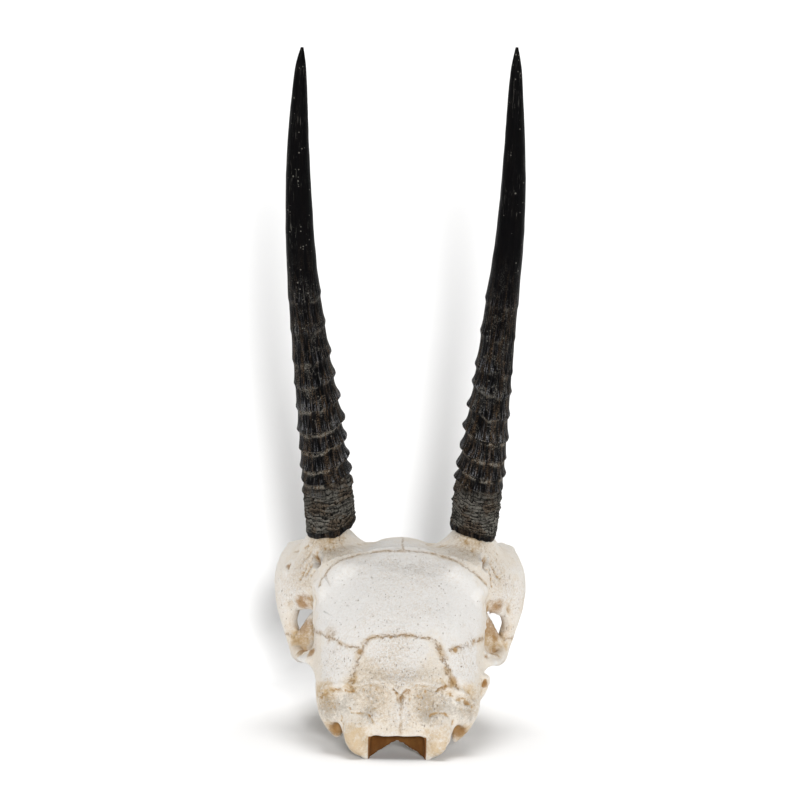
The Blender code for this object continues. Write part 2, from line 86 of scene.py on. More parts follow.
class SkullSizes(bpy.types.PropertyGroup):
    bone_grain: length_value("Bone grain", 0.75, "Edge of the small blocks that the bone is fused from")
    bone_swell: length_value("Bone unevenness", 0.16, "How far the bone's surface swells and sinks")
    seam_width: length_value("Seam width", 0.27, "Width of the lines where two bones meet")
    seam_wander: length_value("Seam wander", 0.95, "How far a seam's fine teeth stray from its line")
    ring_lift: share_value("Ring height", 1.0, "How far the rings stand out of the horns")
    ridge_depth: length_value("Ridge depth", 0.09, "Depth of the fine ridges that run up the horns")
    scale_depth: length_value("Scale depth", 0.32, "Depth of the flaking layers at the horns' feet")
    cusp_height: length_value("Cusp height", 1.1, "How far the cusps stand over the teeth's valleys")


class SkullColours(bpy.types.PropertyGroup):
    # bleached bone, and painted light on the shaded strip of the forehead and on raised bone
    chalk_and_light: colour_value("Chalk", (0.80, 0.785, 0.76), "Bleached bone on the crown")
    ivory: colour_value("Ivory", (0.765, 0.705, 0.62), "Bone of the forehead and face")
    ochre: colour_value("Ochre", (0.58, 0.42, 0.23), "Bone stained yellow")
    # grey weathering, and painted shade in the hollows under the crest, in the pits over the eyes and in the
    # hollow behind the forehead
    ash_and_shade: colour_value("Ash", (0.33, 0.31, 0.28), "Bone weathered grey")
    tan: colour_value("Tan", (0.50, 0.34, 0.165), "Flecks and worn grooves")
    rust: colour_value("Rust", (0.34, 0.18, 0.055), "Earth left in seams and hollows")
    umber: colour_value("Umber", (0.20, 0.08, 0.022), "Stained wall inside the great opening")
    earth: colour_value("Earth", (0.23, 0.135, 0.07), "Earth left in pits")
    horn_black: colour_value("Horn black", (0.0022, 0.0021, 0.0024), "Horn")
    horn_brown: colour_value("Horn brown", (0.115, 0.078, 0.048), "Dry horn under the lips of the rings")
    horn_tan: colour_value("Horn tan", (0.31, 0.275, 0.225), "Crumbs of pale horn")
    horn_grey: colour_value("Horn grey", (0.20, 0.19, 0.165), "Dull scales at the foot")
    # painted highlight: the bright colour laid on the horns' fine ridges
    horn_glint: colour_value("Horn glint", (0.21, 0.215, 0.23), "Rubbed edges of the fine ridges")
    enamel: colour_value("Enamel", (0.80, 0.73, 0.58), "Enamel of the cheek teeth")
    tartar: colour_value("Tartar", (0.16, 0.08, 0.03), "Stain in the teeth's folds")


# Helpers for shapes


def smooth_line(stations, step=0.7):
    """Places about a step apart on a smooth curve through a few places."""
    stations = np.array(stations, float)
    last = len(stations) - 1
    if last == 0:
        return stations
    places = []
    for index in range(last):
        before, start, end, after = (stations[min(max(index + way, 0), last)] for way in (-1, 0, 1, 2))
        count = max(1, int(math.ceil(np.linalg.norm(end - start) / step)))
        share = (np.arange(count) / count)[:, None]
        slope_in, slope_out, rest = (end - before) / 2, (after - start) / 2, end - start
        square, cube = 3 * rest - 2 * slope_in - slope_out, slope_in + slope_out - 2 * rest
        places.append(start + share * (slope_in + share * (square + share * cube)))
    return np.vstack(places + [stations[-1:]])


def near_line(points, line, reach):
    """The points within reach of a line: which they are, how far off, and which place of it is nearest."""
    near = np.flatnonzero(np.all((points > line.min(0) - reach) & (points < line.max(0) + reach), axis=1))
    close = points[near]
    best = np.linalg.norm(close - line[0], axis=1)
    place = np.zeros(len(near), int)
    for index in range(len(line) - 1):
        run = line[index + 1] - line[index]
        away = close - line[index]
        share = np.clip(away @ run / max(run @ run, 1e-9), 0, 1)
        far = np.linalg.norm(away - share[:, None] * run, axis=1)
        closer = far < best
        best[closer] = far[closer]
        place[closer] = index + (share[closer] > 0.5)
    kept = best < reach
    return near[kept], best[kept], place[kept]


def vertex_places(mesh):
    """A mesh's vertices and their normals, in millimetres."""
    points = np.empty(len(mesh.vertices) * 3)
    mesh.vertices.foreach_get("co", points)
    normals = np.empty(len(mesh.vertices) * 3)
    mesh.vertex_normals.foreach_get("vector", normals)
    return points.reshape(-1, 3) / MM, normals.reshape(-1, 3)


def place_vertices(mesh, points):
    mesh.vertices.foreach_set("co", (points * MM).ravel())
    mesh.update()


def value_noise(points, scale, seed):
    """A smooth random value from -1 to 1 for each point."""
    shift = Vector((seed * 17.3, seed * 5.1, seed * 11.7))
    return np.array([noise.noise(Vector(point) * scale + shift) for point in points])


def store(mesh, name, kind, values):
    """Keeps values on a mesh's vertices, for its material."""
    layer = mesh.attributes.new(name, kind, "POINT")
    channel = {"FLOAT_COLOR": "color", "FLOAT_VECTOR": "vector"}[kind]
    layer.data.foreach_set(channel, np.ascontiguousarray(values, np.float32).ravel())


def verts_in(items):
    return [item for item in items if isinstance(item, bmesh.types.BMVert)]


def open_edges_in(items):
    return [item for item in items if isinstance(item, bmesh.types.BMEdge) and item.is_boundary]


def next_layer(layer, made):
    """The new vertices of an extruded ring, in the order of the ring they came from."""
    fresh = set(verts_in(made))
    return [next(edge.other_vert(vert) for edge in vert.link_edges if edge.other_vert(vert) in fresh)
            for vert in layer]


def lofted(rings):
    """A closed skin through rings of places in mm, with its vertices ring by ring and its last lid."""
    sides = len(rings[0])
    bm = bmesh.new()
    bands = [bmesh.ops.create_circle(bm, cap_ends=True, segments=sides, radius=1.0)["verts"]]
    edges = bm.edges[:]
    for _ in rings[1:]:
        made = bmesh.ops.extrude_edge_only(bm, edges=edges)["geom"]
        edges = open_edges_in(made)
        bands.append(next_layer(bands[-1], made))
    lid = bmesh.ops.holes_fill(bm, edges=edges, sides=sides)["faces"][0]
    for band, ring in zip(bands, rings):
        for vert, place in zip(band, ring):
            vert.co = Vector(place) * MM
    return bm, bands, lid


def finished_mesh(bm, name):
    """Turns a bmesh into a mesh, and frees it."""
    mesh = bpy.data.meshes.new(name)
    bm.to_mesh(mesh)
    bm.free()
    return mesh


def object_of(data, name):
    """An object in the scene that shows a mesh, a light or a camera."""
    made = bpy.data.objects.new(name, data)
    bpy.context.scene.collection.objects.link(made)
    return made


def apply_modifiers(thing):
    """Turns a thing's modifiers into its mesh."""
    ready = thing.evaluated_get(bpy.context.evaluated_depsgraph_get())
    made = bpy.data.meshes.new_from_object(ready)
    thing.modifiers.clear()
    old, thing.data = thing.data, made
    bpy.data.meshes.remove(old)
    return made


def dress(thing, node, finish):
    """Gives a piece its material and its place in the skull."""
    thing.data.materials.clear()
    thing.data.materials.append(finish)
    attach(thing, "root")
    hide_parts(node)


# Helpers for materials


class Recipe:
    """Writes a tree of shader nodes a line at a time."""

    def __init__(self, tree):
        self.tree = tree

    def feed(self, socket, value):
        """Links a socket to another one, or gives it a number, a place or a colour."""
        if isinstance(value, bpy.types.NodeSocket):
            self.tree.links.new(value, socket)
        elif hasattr(value, "__len__"):
            socket.default_value = (*value, 1.0) if len(socket.default_value) > len(value) else tuple(value)
        else:
            socket.default_value = value

    def add(self, kind, given=None, **settings):
        """A new node with its settings, and with its inputs fed by name or number."""
        node = self.tree.nodes.new(kind)
        for name, value in settings.items():
            setattr(node, name, value)
        for name, value in (given or {}).items():
            self.feed(node.inputs[name], value)
        return node

    def maths(self, operation, first, second=0.0, clamp=False):
        given = {0: first, 1: second}
        return self.add("ShaderNodeMath", given, operation=operation, use_clamp=clamp).outputs[0]

    def times(self, first, *others, clamp=False):
        for other in others:
            first = self.maths("MULTIPLY", first, other, clamp)
        return first

    def plus(self, first, *others, clamp=False):
        for other in others:
            first = self.maths("ADD", first, other, clamp)
        return first

    def scaled(self, value, by, offset):
        return self.plus(self.times(value, by), offset)

    def centred(self, value, share):
        """A value that swings about a half, turned to swing about nought."""
        return self.times(self.plus(value, -0.5), share)

    def ramp(self, value, low, high, start=0.0, end=1.0):
        """A smooth step from start to end as the value goes from low to high."""
        given = {"Value": value, "From Min": low, "From Max": high, "To Min": start, "To Max": end}
        return self.add("ShaderNodeMapRange", given, interpolation_type="SMOOTHSTEP").outputs["Result"]

    def mix(self, share, first, second):
        return self.add("ShaderNodeMix", {"Factor": share, 6: first, 7: second}, data_type="RGBA").outputs[2]

    def noise(self, where, scale, detail=2.0, rough=0.5):
        given = {"Vector": where, "Scale": scale, "Detail": detail, "Roughness": rough}
        return self.add("ShaderNodeTexNoise", given).outputs["Fac"]

    def stretched(self, where, scale):
        return self.add("ShaderNodeMapping", {"Vector": where, "Scale": scale}).outputs["Vector"]

    def stored(self, name):
        return self.add("ShaderNodeAttribute", attribute_name=name).outputs

    def parts(self, value, kind="Color"):
        return self.add("ShaderNodeSeparate" + kind, {0: value}).outputs

    def group(self, tree, **values):
        return self.add("ShaderNodeGroup", values, node_tree=tree).outputs

    def bump(self, height, distance):
        given = {"Height": height, "Distance": distance, "Strength": 1.0}
        return self.add("ShaderNodeBump", given).outputs["Normal"]


class Paint:
    """A colour that is laid on in coats."""

    def __init__(self, recipe, colour):
        self.recipe = recipe
        self.colour = colour

    def coat(self, colour, *shares):
        """Lays a colour over what is there, as thick as the product of the shares."""
        self.colour = self.recipe.mix(self.recipe.times(*shares), self.colour, colour)


def new_group(name, inputs, outputs):
    """The recipe of an empty node group, with what the group is given and what it puts out."""
    tree = bpy.data.node_groups.new(name, "ShaderNodeTree")
    for label, kind, default in inputs:
        socket = tree.interface.new_socket(label, in_out="INPUT", socket_type="NodeSocket" + kind)
        if default is not None:
            socket.default_value = default
    for label, kind in outputs:
        tree.interface.new_socket(label, in_out="OUTPUT", socket_type="NodeSocket" + kind)
    recipe = Recipe(tree)
    return recipe, recipe.add("NodeGroupInput").outputs, recipe.add("NodeGroupOutput").inputs


def new_material(name, roughness):
    """An empty material with its recipe and its shader's inputs."""
    made = bpy.data.materials.new(name)
    made.use_nodes = True
    made.node_tree.nodes.clear()
    recipe = Recipe(made.node_tree)
    shader = recipe.add("ShaderNodeBsdfPrincipled", {"Roughness": roughness})
    recipe.add("ShaderNodeOutputMaterial", {"Surface": shader.outputs["BSDF"]})
    return made, recipe, shader.inputs


def specks_group():
    """Fine pits scattered over a surface, thicker where Density is high."""
    inputs = [("Vector", "Vector", None), ("Scale", "Float", 1000.0), ("Density", "Float", 0.5),
              ("Size", "Float", 0.3)]
    recipe, given, result = new_group("Specks", inputs, [("Mask", "Float")])
    cells = recipe.add("ShaderNodeTexVoronoi", {"Vector": given["Vector"], "Scale": given["Scale"]}).outputs
    lottery, luck, _ = recipe.parts(cells["Color"])
    chosen = recipe.maths("LESS_THAN", lottery, given["Density"])
    size = recipe.times(given["Size"], recipe.plus(luck, 0.35))
    dot = recipe.ramp(recipe.maths("DIVIDE", cells["Distance"], size), 0.55, 1.0, 1.0, 0.0)
    recipe.feed(result["Mask"], recipe.times(dot, chosen))


def mottle_group():
    """Large soft patches with finer ones in them."""
    inputs = [("Vector", "Vector", None), ("Scale", "Float", 60.0)]
    recipe, given, result = new_group("Mottle", inputs, [("Patches", "Float"), ("Grain", "Float")])
    recipe.feed(result["Patches"], recipe.noise(given["Vector"], given["Scale"], 5.0, 0.6))
    fine = recipe.times(given["Scale"], 14.0)
    recipe.feed(result["Grain"], recipe.noise(given["Vector"], fine, 4.0, 0.65))


def shared_effects():
    """The two shader groups that the materials share."""
    return bpy.data.node_groups["Specks"], bpy.data.node_groups["Mottle"]


# Cranium: what stands on the bone

# Forms fused to the solid: balls of (x, y, z, radius) under one tight skin, both sides when True
FORMS = [
    # condyles: the inner edge that runs down to the tip, and the outer lobe
    (True, [(9.15, 70.6, 0.6, 1.2), (9.15, 67.4, 0.6, 1.1), (9.3, 72.0, 8.0, 1.2), (9.3, 66.5, 7.5, 1.1),
            (11.0, 71.8, 5.4, 1.8), (11.2, 68.0, 3.6, 1.5)]),
    (True, [(12.2, 71.3, 9.4, 3.2), (11.9, 71.6, 6.4, 3.0), (10.6, 70.2, 9.6, 2.2)]),
    # lower rim of the great opening, which arches from tip to tip
    (True, [(8.8, 67.4, 0.6, 1.1), (8.8, 66.8, 5.0, 1.1), (4.2, 61.4, 2.7, 1.0), (4.0, 60.4, 6.2, 1.1)]),
    (True, [(4.2, 61.4, 2.7, 1.0), (4.0, 60.4, 6.2, 1.1), (0.3, 60.0, 4.8, 1.0), (0.3, 59.4, 6.2, 1.1)]),
    # upper rim of the great opening
    (True, [(8.2, 72.2, 8.0, 1.0), (6.6, 72.6, 8.3, 0.9), (6.4, 71.5, 10.5, 1.2)]),
    (False, [(6.4, 72.6, 8.4, 0.9), (4.4, 72.8, 7.9, 0.9), (0.4, 73.0, 8.2, 0.9), (6.0, 71.5, 10.5, 1.2),
             (0.0, 71.5, 10.5, 1.2)]),
    (False, [(-6.4, 72.6, 8.2, 0.9), (-3.4, 72.8, 8.0, 0.9), (0.4, 73.0, 8.2, 0.9),
             (-6.0, 71.5, 10.5, 1.2), (0.0, 71.5, 10.5, 1.2)]),
    # processes beside the condyles
    (False, [(17.6, 60.6, 6.6, 1.0), (19.4, 62.6, 10.0, 1.3), (17.6, 61.5, 10.0, 1.1)]),
    (False, [(-17.3, 60.6, 4.3, 1.0), (-19.6, 62.6, 9.4, 1.3), (-17.6, 61.5, 9.0, 1.1)]),
    # lips under the roots of the cheek bars
    (True, [(31.2, 46.2, 26.6, 1.2), (30.0, 49.8, 26.6, 1.2), (28.2, 53.4, 26.8, 1.3),
            (26.4, 55.4, 27.1, 1.2), (26.0, 52.0, 26.6, 1.4)]),
    # tops of the gaps behind the eyes
    (False, [(26.3, 39.5, 41.7, 1.2), (29.4, 37.5, 42.0, 1.2), (31.6, 36.0, 40.6, 1.2),
             (26.0, 42.0, 46.0, 1.2), (30.8, 38.0, 45.2, 1.2)]),
    (False, [(-26.6, 39.5, 42.2, 1.2), (-28.6, 38.0, 42.2, 1.2), (-31.6, 36.2, 40.0, 1.2),
             (-26.2, 42.0, 46.2, 1.2), (-30.8, 38.2, 45.4, 1.2)]),
    # plates that close them from below
    (False, [(26.6, 36.6, 38.4, 1.1), (29.7, 34.6, 33.4, 1.1), (31.0, 33.6, 31.0, 1.1),
             (24.9, 38.0, 30.0, 1.6), (30.0, 34.0, 27.0, 1.4)]),
    (False, [(-26.3, 36.6, 39.3, 1.1), (-30.3, 34.6, 32.0, 1.1), (-31.2, 33.6, 30.0, 1.1),
             (-24.9, 38.0, 30.0, 1.6), (-30.0, 34.0, 26.0, 1.4)]),
    # broken tube of the right ear
    (False, [(-24.4, 60.4, 24.0, 1.4), (-26.9, 60.6, 23.8, 1.0), (-27.0, 60.8, 22.0, 0.9),
             (-24.4, 60.4, 20.4, 1.2)]),
    (False, [(-26.6, 60.8, 21.6, 0.9), (-24.4, 60.4, 20.4, 1.2), (-25.9, 60.8, 18.9, 0.9),
             (-24.4, 60.4, 18.6, 1.1)]),
]

# The crest that crosses the back of the skull, from the left ear to the right
CREST = [
    (24.0, 64.9, 17.0), (23.2, 66.0, 19.2), (21.4, 67.9, 20.9), (18.4, 70.0, 22.0), (15.4, 71.6, 22.4),
    (12.9, 72.7, 22.5), (9.8, 73.7, 23.4), (6.8, 74.9, 24.0), (3.7, 75.4, 23.5), (1.5, 75.6, 22.2),
    (-0.3, 75.2, 20.9), (-1.6, 75.2, 20.9), (-3.1, 75.3, 21.8), (-4.9, 75.3, 23.2), (-7.9, 74.5, 23.7),
    (-11.6, 73.1, 23.0), (-13.8, 72.4, 22.2), (-16.6, 71.1, 21.4), (-19.7, 69.2, 19.9),
    (-22.4, 67.2, 17.4), (-24.0, 64.6, 14.6),
]

# Reliefs: how far the bone rises, its reach, both sides or one, and the line it follows
RELIEFS = [
    # crest, and the hollows under it
    (0.15, 1.0, False, CREST),
    (-1.1, 6.0, False, [(6.9, 73.4, 18.6), (9.4, 72.8, 18.0)]),
    (-1.1, 6.0, False, [(-7.6, 73.4, 18.4), (-10.0, 72.6, 17.8)]),
    (-0.5, 3.4, True, [(14.5, 72.0, 18.6), (18.6, 69.8, 17.2)]),
    (-0.5, 1.0, False, [(x, y + 0.2, z - 1.9) for x, y, z in CREST[1:6]]),
    (-0.55, 1.1, False, [(x, y + 0.2, z - 1.9) for x, y, z in CREST[14:-1]]),
    # groove that forks under the crest, and the line below it
    (-1.6, 1.1, False, [(-5.4, 75.0, 22.9), (-3.2, 75.0, 21.2), (-1.0, 74.7, 18.8)]),
    (-1.3, 0.9, False, [(1.7, 75.4, 22.2), (0.4, 75.0, 20.2), (-0.5, 74.5, 17.6)]),
    (0.5, 2.2, False, [(-0.7, 74.4, 16.6), (-1.0, 74.2, 13.4), (-0.9, 73.8, 10.6)]),
    (-0.4, 0.7, False, [(-0.6, 74.4, 17.2), (-1.1, 74.2, 13.4), (-0.9, 73.8, 10.4)]),
    (-0.8, 0.8, False, [(-11.6, 72.7, 20.8), (-13.0, 72.4, 21.8), (-14.1, 72.0, 22.8)]),
    # slits and folds of the occiput
    (-0.8, 0.6, False, [(16.8, 70.8, 16.1), (14.4, 71.7, 15.1)]),
    (-0.4, 0.9, False, [(13.9, 71.9, 14.0), (10.3, 73.0, 13.8), (8.6, 73.4, 13.2)]),
    (-0.25, 0.9, False, [(8.6, 73.4, 13.2), (7.2, 73.7, 11.8), (6.6, 73.6, 10.2)]),
    (-0.4, 0.8, False, [(-9.6, 73.1, 13.6), (-12.7, 72.1, 14.4), (-15.4, 71.4, 13.4)]),
    (0.3, 1.3, False, [(22.4, 66.3, 13.3), (20.3, 68.3, 16.2), (16.6, 71.0, 18.6), (12.9, 72.2, 19.6)]),
    (0.3, 1.5, False, [(-13.5, 72.1, 19.9), (-17.3, 70.7, 18.2), (-20.4, 68.2, 15.7), (-22.4, 66.0, 12.2)]),
    # pits over the eyes, with the folds that run out of them
    (-3.2, 1.5, False, [(26.1, 41.4, 58.1), (25.8, 43.2, 57.3), (25.7, 44.9, 56.6), (25.5, 46.9, 55.2)]),
    (-2.8, 1.5, False, [(-25.9, 42.0, 57.8), (-25.7, 44.3, 56.7), (-25.7, 46.0, 55.2)]),
    (-0.9, 1.0, False, [(26.5, 41.4, 57.5), (27.6, 41.9, 55.7), (28.8, 41.4, 53.8), (30.1, 40.5, 51.5),
                        (30.7, 40.2, 49.9)]),
    (-0.8, 0.9, False, [(26.1, 44.2, 56.0), (27.3, 43.6, 54.4), (28.2, 42.8, 52.7), (28.8, 42.3, 51.1)]),
    (-0.7, 0.8, False, [(25.4, 46.7, 54.8), (26.3, 46.4, 53.2), (27.2, 45.2, 51.8)]),
    (-0.5, 0.8, False, [(27.4, 39.5, 58.2), (28.9, 39.3, 56.3), (30.5, 38.7, 54.3)]),
    (-0.9, 1.0, False, [(-26.5, 44.4, 55.5), (-27.1, 44.7, 53.7), (-27.8, 44.1, 51.5),
                        (-28.1, 43.5, 49.2)]),
    (-0.7, 0.9, False, [(-27.4, 41.8, 56.4), (-28.7, 41.6, 54.2), (-29.7, 41.1, 51.7)]),
    (-0.35, 0.7, False, [(28.4, 37.1, 59.7), (31.0, 33.6, 58.0), (33.5, 29.8, 56.5)]),
    (-0.35, 0.7, False, [(-28.7, 36.8, 59.8), (-30.0, 36.1, 57.9), (-31.6, 35.3, 55.9)]),
    (-1.2, 0.9, False, [(34.0, 33.7, 53.7), (34.6, 33.9, 52.3)]),
    # side of each condyle, and the groove in the ear's tube
    (-0.8, 1.7, True, [(16.6, 70.0, 11.4), (16.4, 71.0, 7.8), (15.4, 70.6, 4.4)]),
    (-1.3, 0.9, False, [(-26.4, 61.6, 23.4), (-25.8, 61.8, 21.4), (-25.2, 61.8, 19.6)]),
    # brow and the edge behind it
    (0.5, 2.2, False, [(33.4, 33.4, 54.0), (35.4, 33.0, 50.8)]),
    # shallow hollow behind the forehead, and the step of the forehead over it
    (-0.7, 6.0, False, [(3.0, 50.6, 57.6), (-4.0, 50.9, 57.3), (-9.6, 51.2, 56.6)]),
    (0.35, 1.3, False, [(22.0, 48.2, 55.4), (16.3, 48.0, 58.8), (7.6, 44.8, 60.2), (-0.5, 44.4, 60.8),
                        (-7.4, 44.8, 60.2), (-16.2, 48.2, 58.6), (-22.5, 48.4, 55.4)]),
    # sides of the braincase
    (0.5, 1.3, False, [(26.0, 49.0, 49.6), (26.2, 47.7, 46.5), (26.2, 47.2, 42.2), (26.0, 49.2, 37.6)]),
    (0.5, 1.3, False, [(-26.1, 49.5, 49.4), (-26.4, 47.6, 45.8), (-26.4, 47.2, 41.8), (-26.0, 49.2, 37.0)]),
    # upper edges of the cheek bars' roots
    (0.6, 1.1, True, [(32.2, 43.0, 29.0), (29.6, 48.6, 29.3), (26.4, 54.4, 30.0)]),
    # undersides of those roots
    (-1.7, 3.4, True, [(30.2, 46.0, 24.4), (28.6, 50.2, 23.8), (26.8, 53.0, 23.8)]),
    # rims of the eye sockets
    (0.5, 1.4, True, [(24.6, -6.6, 50.4), (28.6, 1.0, 55.2), (31.6, 10.0, 57.6), (34.6, 20.0, 57.6)]),
]

# Seams between bones: how dark, how wide, both sides or one, and the line it follows
SEAMS = [
    (0.75, 1.0, False, [(23.9, 51.8, 50.7), (22.4, 50.9, 53.5), (20.6, 50.6, 55.5), (18.8, 50.5, 56.8),
                        (16.3, 49.8, 57.7), (13.8, 48.0, 58.3), (10.7, 46.5, 58.9), (7.6, 46.4, 59.5),
                        (3.9, 46.3, 59.8), (-0.5, 46.3, 59.9), (-4.3, 46.2, 59.8), (-7.4, 46.5, 59.5),
                        (-10.5, 46.5, 58.9), (-13.7, 47.8, 58.3), (-16.2, 49.9, 57.6),
                        (-18.7, 50.8, 56.6), (-20.6, 50.7, 55.5), (-22.5, 50.4, 54.2),
                        (-24.4, 50.2, 52.4), (-25.7, 49.4, 51.2)]),
    (0.55, 0.8, False, [(-0.4, 24.0, 62.4), (-0.2, 30.0, 62.6), (-0.6, 36.6, 62.3), (-0.4, 41.9, 61.4),
                        (-0.8, 46.3, 59.9)]),
    (0.85, 2.1, False, [(13.8, 72.0, 22.8), (13.7, 71.9, 24.5), (13.2, 71.4, 26.7), (12.3, 70.7, 29.2),
                        (11.6, 70.0, 31.9), (10.7, 69.4, 33.8), (9.4, 68.9, 35.5)]),
    (1.0, 1.2, False, [(9.4, 68.9, 35.5), (8.3, 68.7, 36.4), (4.6, 68.9, 36.9), (0.9, 69.1, 36.9),
                       (-1.6, 68.9, 37.1), (-4.6, 68.8, 37.0), (-7.1, 68.7, 36.8), (-9.6, 68.7, 36.1),
                       (-10.9, 68.8, 35.3)]),
    (1.0, 2.1, False, [(-10.9, 68.8, 35.3), (-12.2, 69.3, 33.2), (-13.4, 69.8, 30.7), (-14.5, 70.5, 27.8),
                       (-15.4, 71.1, 24.8), (-16.9, 70.5, 22.5)]),
    (0.9, 1.1, False, [(26.0, 50.0, 35.6), (23.2, 59.5, 35.7), (20.7, 63.3, 35.4), (18.1, 65.9, 34.4),
                       (15.6, 67.8, 33.5), (12.4, 69.1, 33.5)]),
    (1.0, 1.5, False, [(-25.8, 52.0, 34.6), (-23.3, 60.0, 34.5), (-20.8, 63.8, 34.1), (-18.9, 65.8, 33.6),
                       (-16.7, 67.5, 33.1)]),
    (0.8, 1.2, True, [(35.6, 31.6, 31.4), (34.1, 32.9, 31.8), (32.5, 33.1, 30.8), (31.0, 32.6, 31.6)]),
    (0.6, 0.8, False, [(-0.8, 75.0, 18.6), (-1.0, 74.8, 16.2), (-0.8, 74.5, 12.8), (-0.9, 74.0, 9.8)]),
]

# Where the horns leave the bone
HORN_FOOT = (22.5, 36.0, 62.5)

# Stains, bleaching, and painted light and shade: (x, y, z, reach, strength), both sides when True
TINTS = {
    "chalk_and_light": [
        (False, (0.0, 62.0, 48.0, 27.0, 1.0)), (True, (17.0, 58.0, 46.0, 17.0, 1.0)),
        (True, (19.5, 67.0, 28.8, 10.0, 1.0)), (False, (-1.0, 71.5, 31.5, 10.0, 0.75)),
        (False, (-1.0, 75.4, 25.0, 6.0, 0.4)), (True, (28.6, 52.4, 26.2, 3.8, 0.9)),
        # the second patch here lightens the strip over the forehead that lies in shade: painted light
        (True, (33.0, 36.0, 47.0, 14.0, 0.5)), (False, (0.0, 43.0, 60.5, 16.0, 0.7)),
        (False, (-0.5, 74.6, 14.4, 6.0, 0.6)),
    ],
    "ochre": [
        (True, (12.8, 72.4, 5.6, 8.2, 1.0)), (True, (28.4, 44.5, 30.0, 8.0, 0.9)),
        (True, (14.6, 70.0, 4.0, 6.0, 0.8)), (True, (22.5, 38.0, 64.0, 8.0, 0.75)),
        (True, (32.4, 34.0, 30.0, 9.0, 0.75)), (True, (19.4, 63.0, 7.0, 7.0, 0.95)),
        (False, (-24.4, 61.0, 20.0, 6.0, 0.8)), (False, (24.4, 64.0, 19.4, 4.0, 0.8)),
        (True, (21.5, 68.0, 20.6, 5.0, 0.8)), (True, (14.0, 72.6, 22.6, 5.0, 0.7)),
        (True, (33.5, 38.0, 52.0, 6.0, 0.35)), (True, (38.5, 31.0, 42.0, 6.0, 0.5)),
        (True, (26.0, 40.0, 30.0, 12.0, 0.7)), (True, (16.0, -12.0, 12.0, 12.0, 0.5)),
        (False, (0.0, -66.0, 34.0, 14.0, 0.4)),
    ],
    # grey weathering, with painted shade in the hollows under the crest, in the pits over the eyes and
    # behind the forehead
    "ash_and_shade": [
        (False, (-3.7, 51.0, 57.4, 11.0, 0.28)), (False, (9.0, 73.4, 19.4, 7.0, 0.65)),
        (False, (-9.5, 73.0, 18.8, 7.5, 0.7)), (True, (20.6, 67.4, 14.4, 6.0, 0.7)),
        (False, (25.6, 45.0, 56.4, 3.2, 0.7)), (False, (-25.8, 44.2, 56.7, 2.8, 1.0)),
        (False, (25.3, 46.6, 55.4, 2.4, 0.6)), (True, (22.5, 38.0, 65.0, 7.0, 0.4)),
        (True, (15.6, 71.0, 16.0, 5.0, 0.6)), (True, (9.0, 73.6, 13.2, 4.0, 0.6)),
        (False, (-0.5, 74.6, 13.0, 7.0, 0.3)),
    ],
    "rust": [
        (True, (17.6, 63.6, 8.0, 5.0, 1.0)), (True, (28.4, 35.6, 34.0, 7.5, 0.62)),
        (True, (28.2, 39.8, 42.9, 5.2, 0.5)), (True, (30.2, 38.4, 42.6, 3.4, 0.5)),
        (False, (-16.2, 70.9, 23.8, 3.2, 0.75)), (False, (-2.6, 75.2, 20.8, 2.2, 0.9)),
        (False, (-16.9, 67.5, 32.9, 1.3, 0.9)), (False, (11.6, 70.2, 32.2, 1.8, 0.6)),
        (False, (34.3, 33.9, 53.0, 2.0, 0.8)), (True, (28.8, 47.4, 28.9, 3.6, 0.8)),
        (True, (26.4, 54.4, 29.2, 2.4, 0.75)), (False, (-13.4, 72.4, 22.2, 1.8, 0.6)),
        (False, (-25.8, 61.4, 21.6, 1.8, 1.0)),
    ],
}

# Where the bone is pitted: (x, y, z, reach, strength), both sides when True
PITTED = [
    (False, (0.0, 71.5, 30.0, 11.0, 0.55)), (True, (9.0, 73.0, 17.0, 8.0, 0.7)),
    (True, (19.5, 66.5, 29.0, 9.0, 0.5)), (True, (21.5, 67.0, 17.0, 6.0, 1.0)),
    (True, (29.5, 40.5, 52.0, 8.0, 0.9)), (True, (33.5, 35.5, 44.0, 12.0, 0.5)),
    (False, (0.0, 58.0, 50.0, 24.0, 0.25)), (False, (0.0, 75.0, 23.0, 8.0, 0.6)),
    (True, (9.0, 72.5, 25.0, 8.0, 0.6)), (True, (23.0, 38.0, 62.0, 9.0, 0.9)),
    (False, (0.0, 74.0, 14.0, 9.0, 0.6)), (True, (20.0, 45.0, 59.0, 7.0, 0.5)),
    (True, (13.0, -60.0, 30.0, 10.0, 0.6)), (True, (20.0, -20.0, 30.0, 12.0, 0.5)),
]

# Lengths in millimetres, but WELD and BACK_STARTS in metres
WELD = 1e-6
CREST_REACH = 1.7
CREST_STEP = 1.6
CREST_RADIUS = 0.6
FORM_MARGIN = 1.2
SOFTENING = {"": 4, "broad": 11}
BACK_STARTS = 0.040
FACE_LIMIT = 190000
SEAM_REACH = 2.4
FINE_REACH = 1.2
SIGHT_LINES = 22
SIGHT_REACH = 14.0
GRAZING = 0.15
CANAL_HALF_WIDTH = 8.9
CANAL_FRONT = 44
CANAL_TOP = 9.6


def both_sides(paired, place):
    """A place, and its mirror image where it is paired."""
    flip = np.ones(np.shape(place)[-1])
    flip[0] = -1
    return [np.array(place, float)] + ([np.array(place, float) * flip] if paired else [])


def add_hull(bm, balls):
    """A tight skin over balls of (x, y, z, radius), in millimetres."""
    part = bmesh.new()
    for x, y, z, radius in balls:
        place = Matrix.Translation(Vector((x, y, z)) * MM)
        bmesh.ops.create_icosphere(part, subdivisions=2, radius=radius * MM, matrix=place)
    bmesh.ops.delete(part, geom=part.edges[:], context="EDGES_FACES")
    made = bmesh.ops.convex_hull(part, input=part.verts)
    spare = set(verts_in(made["geom_interior"] + made["geom_unused"]))
    bmesh.ops.delete(part, geom=list(spare), context="VERTS")
    mesh = finished_mesh(part, "form")
    bm.from_mesh(mesh)
    bpy.data.meshes.remove(mesh)


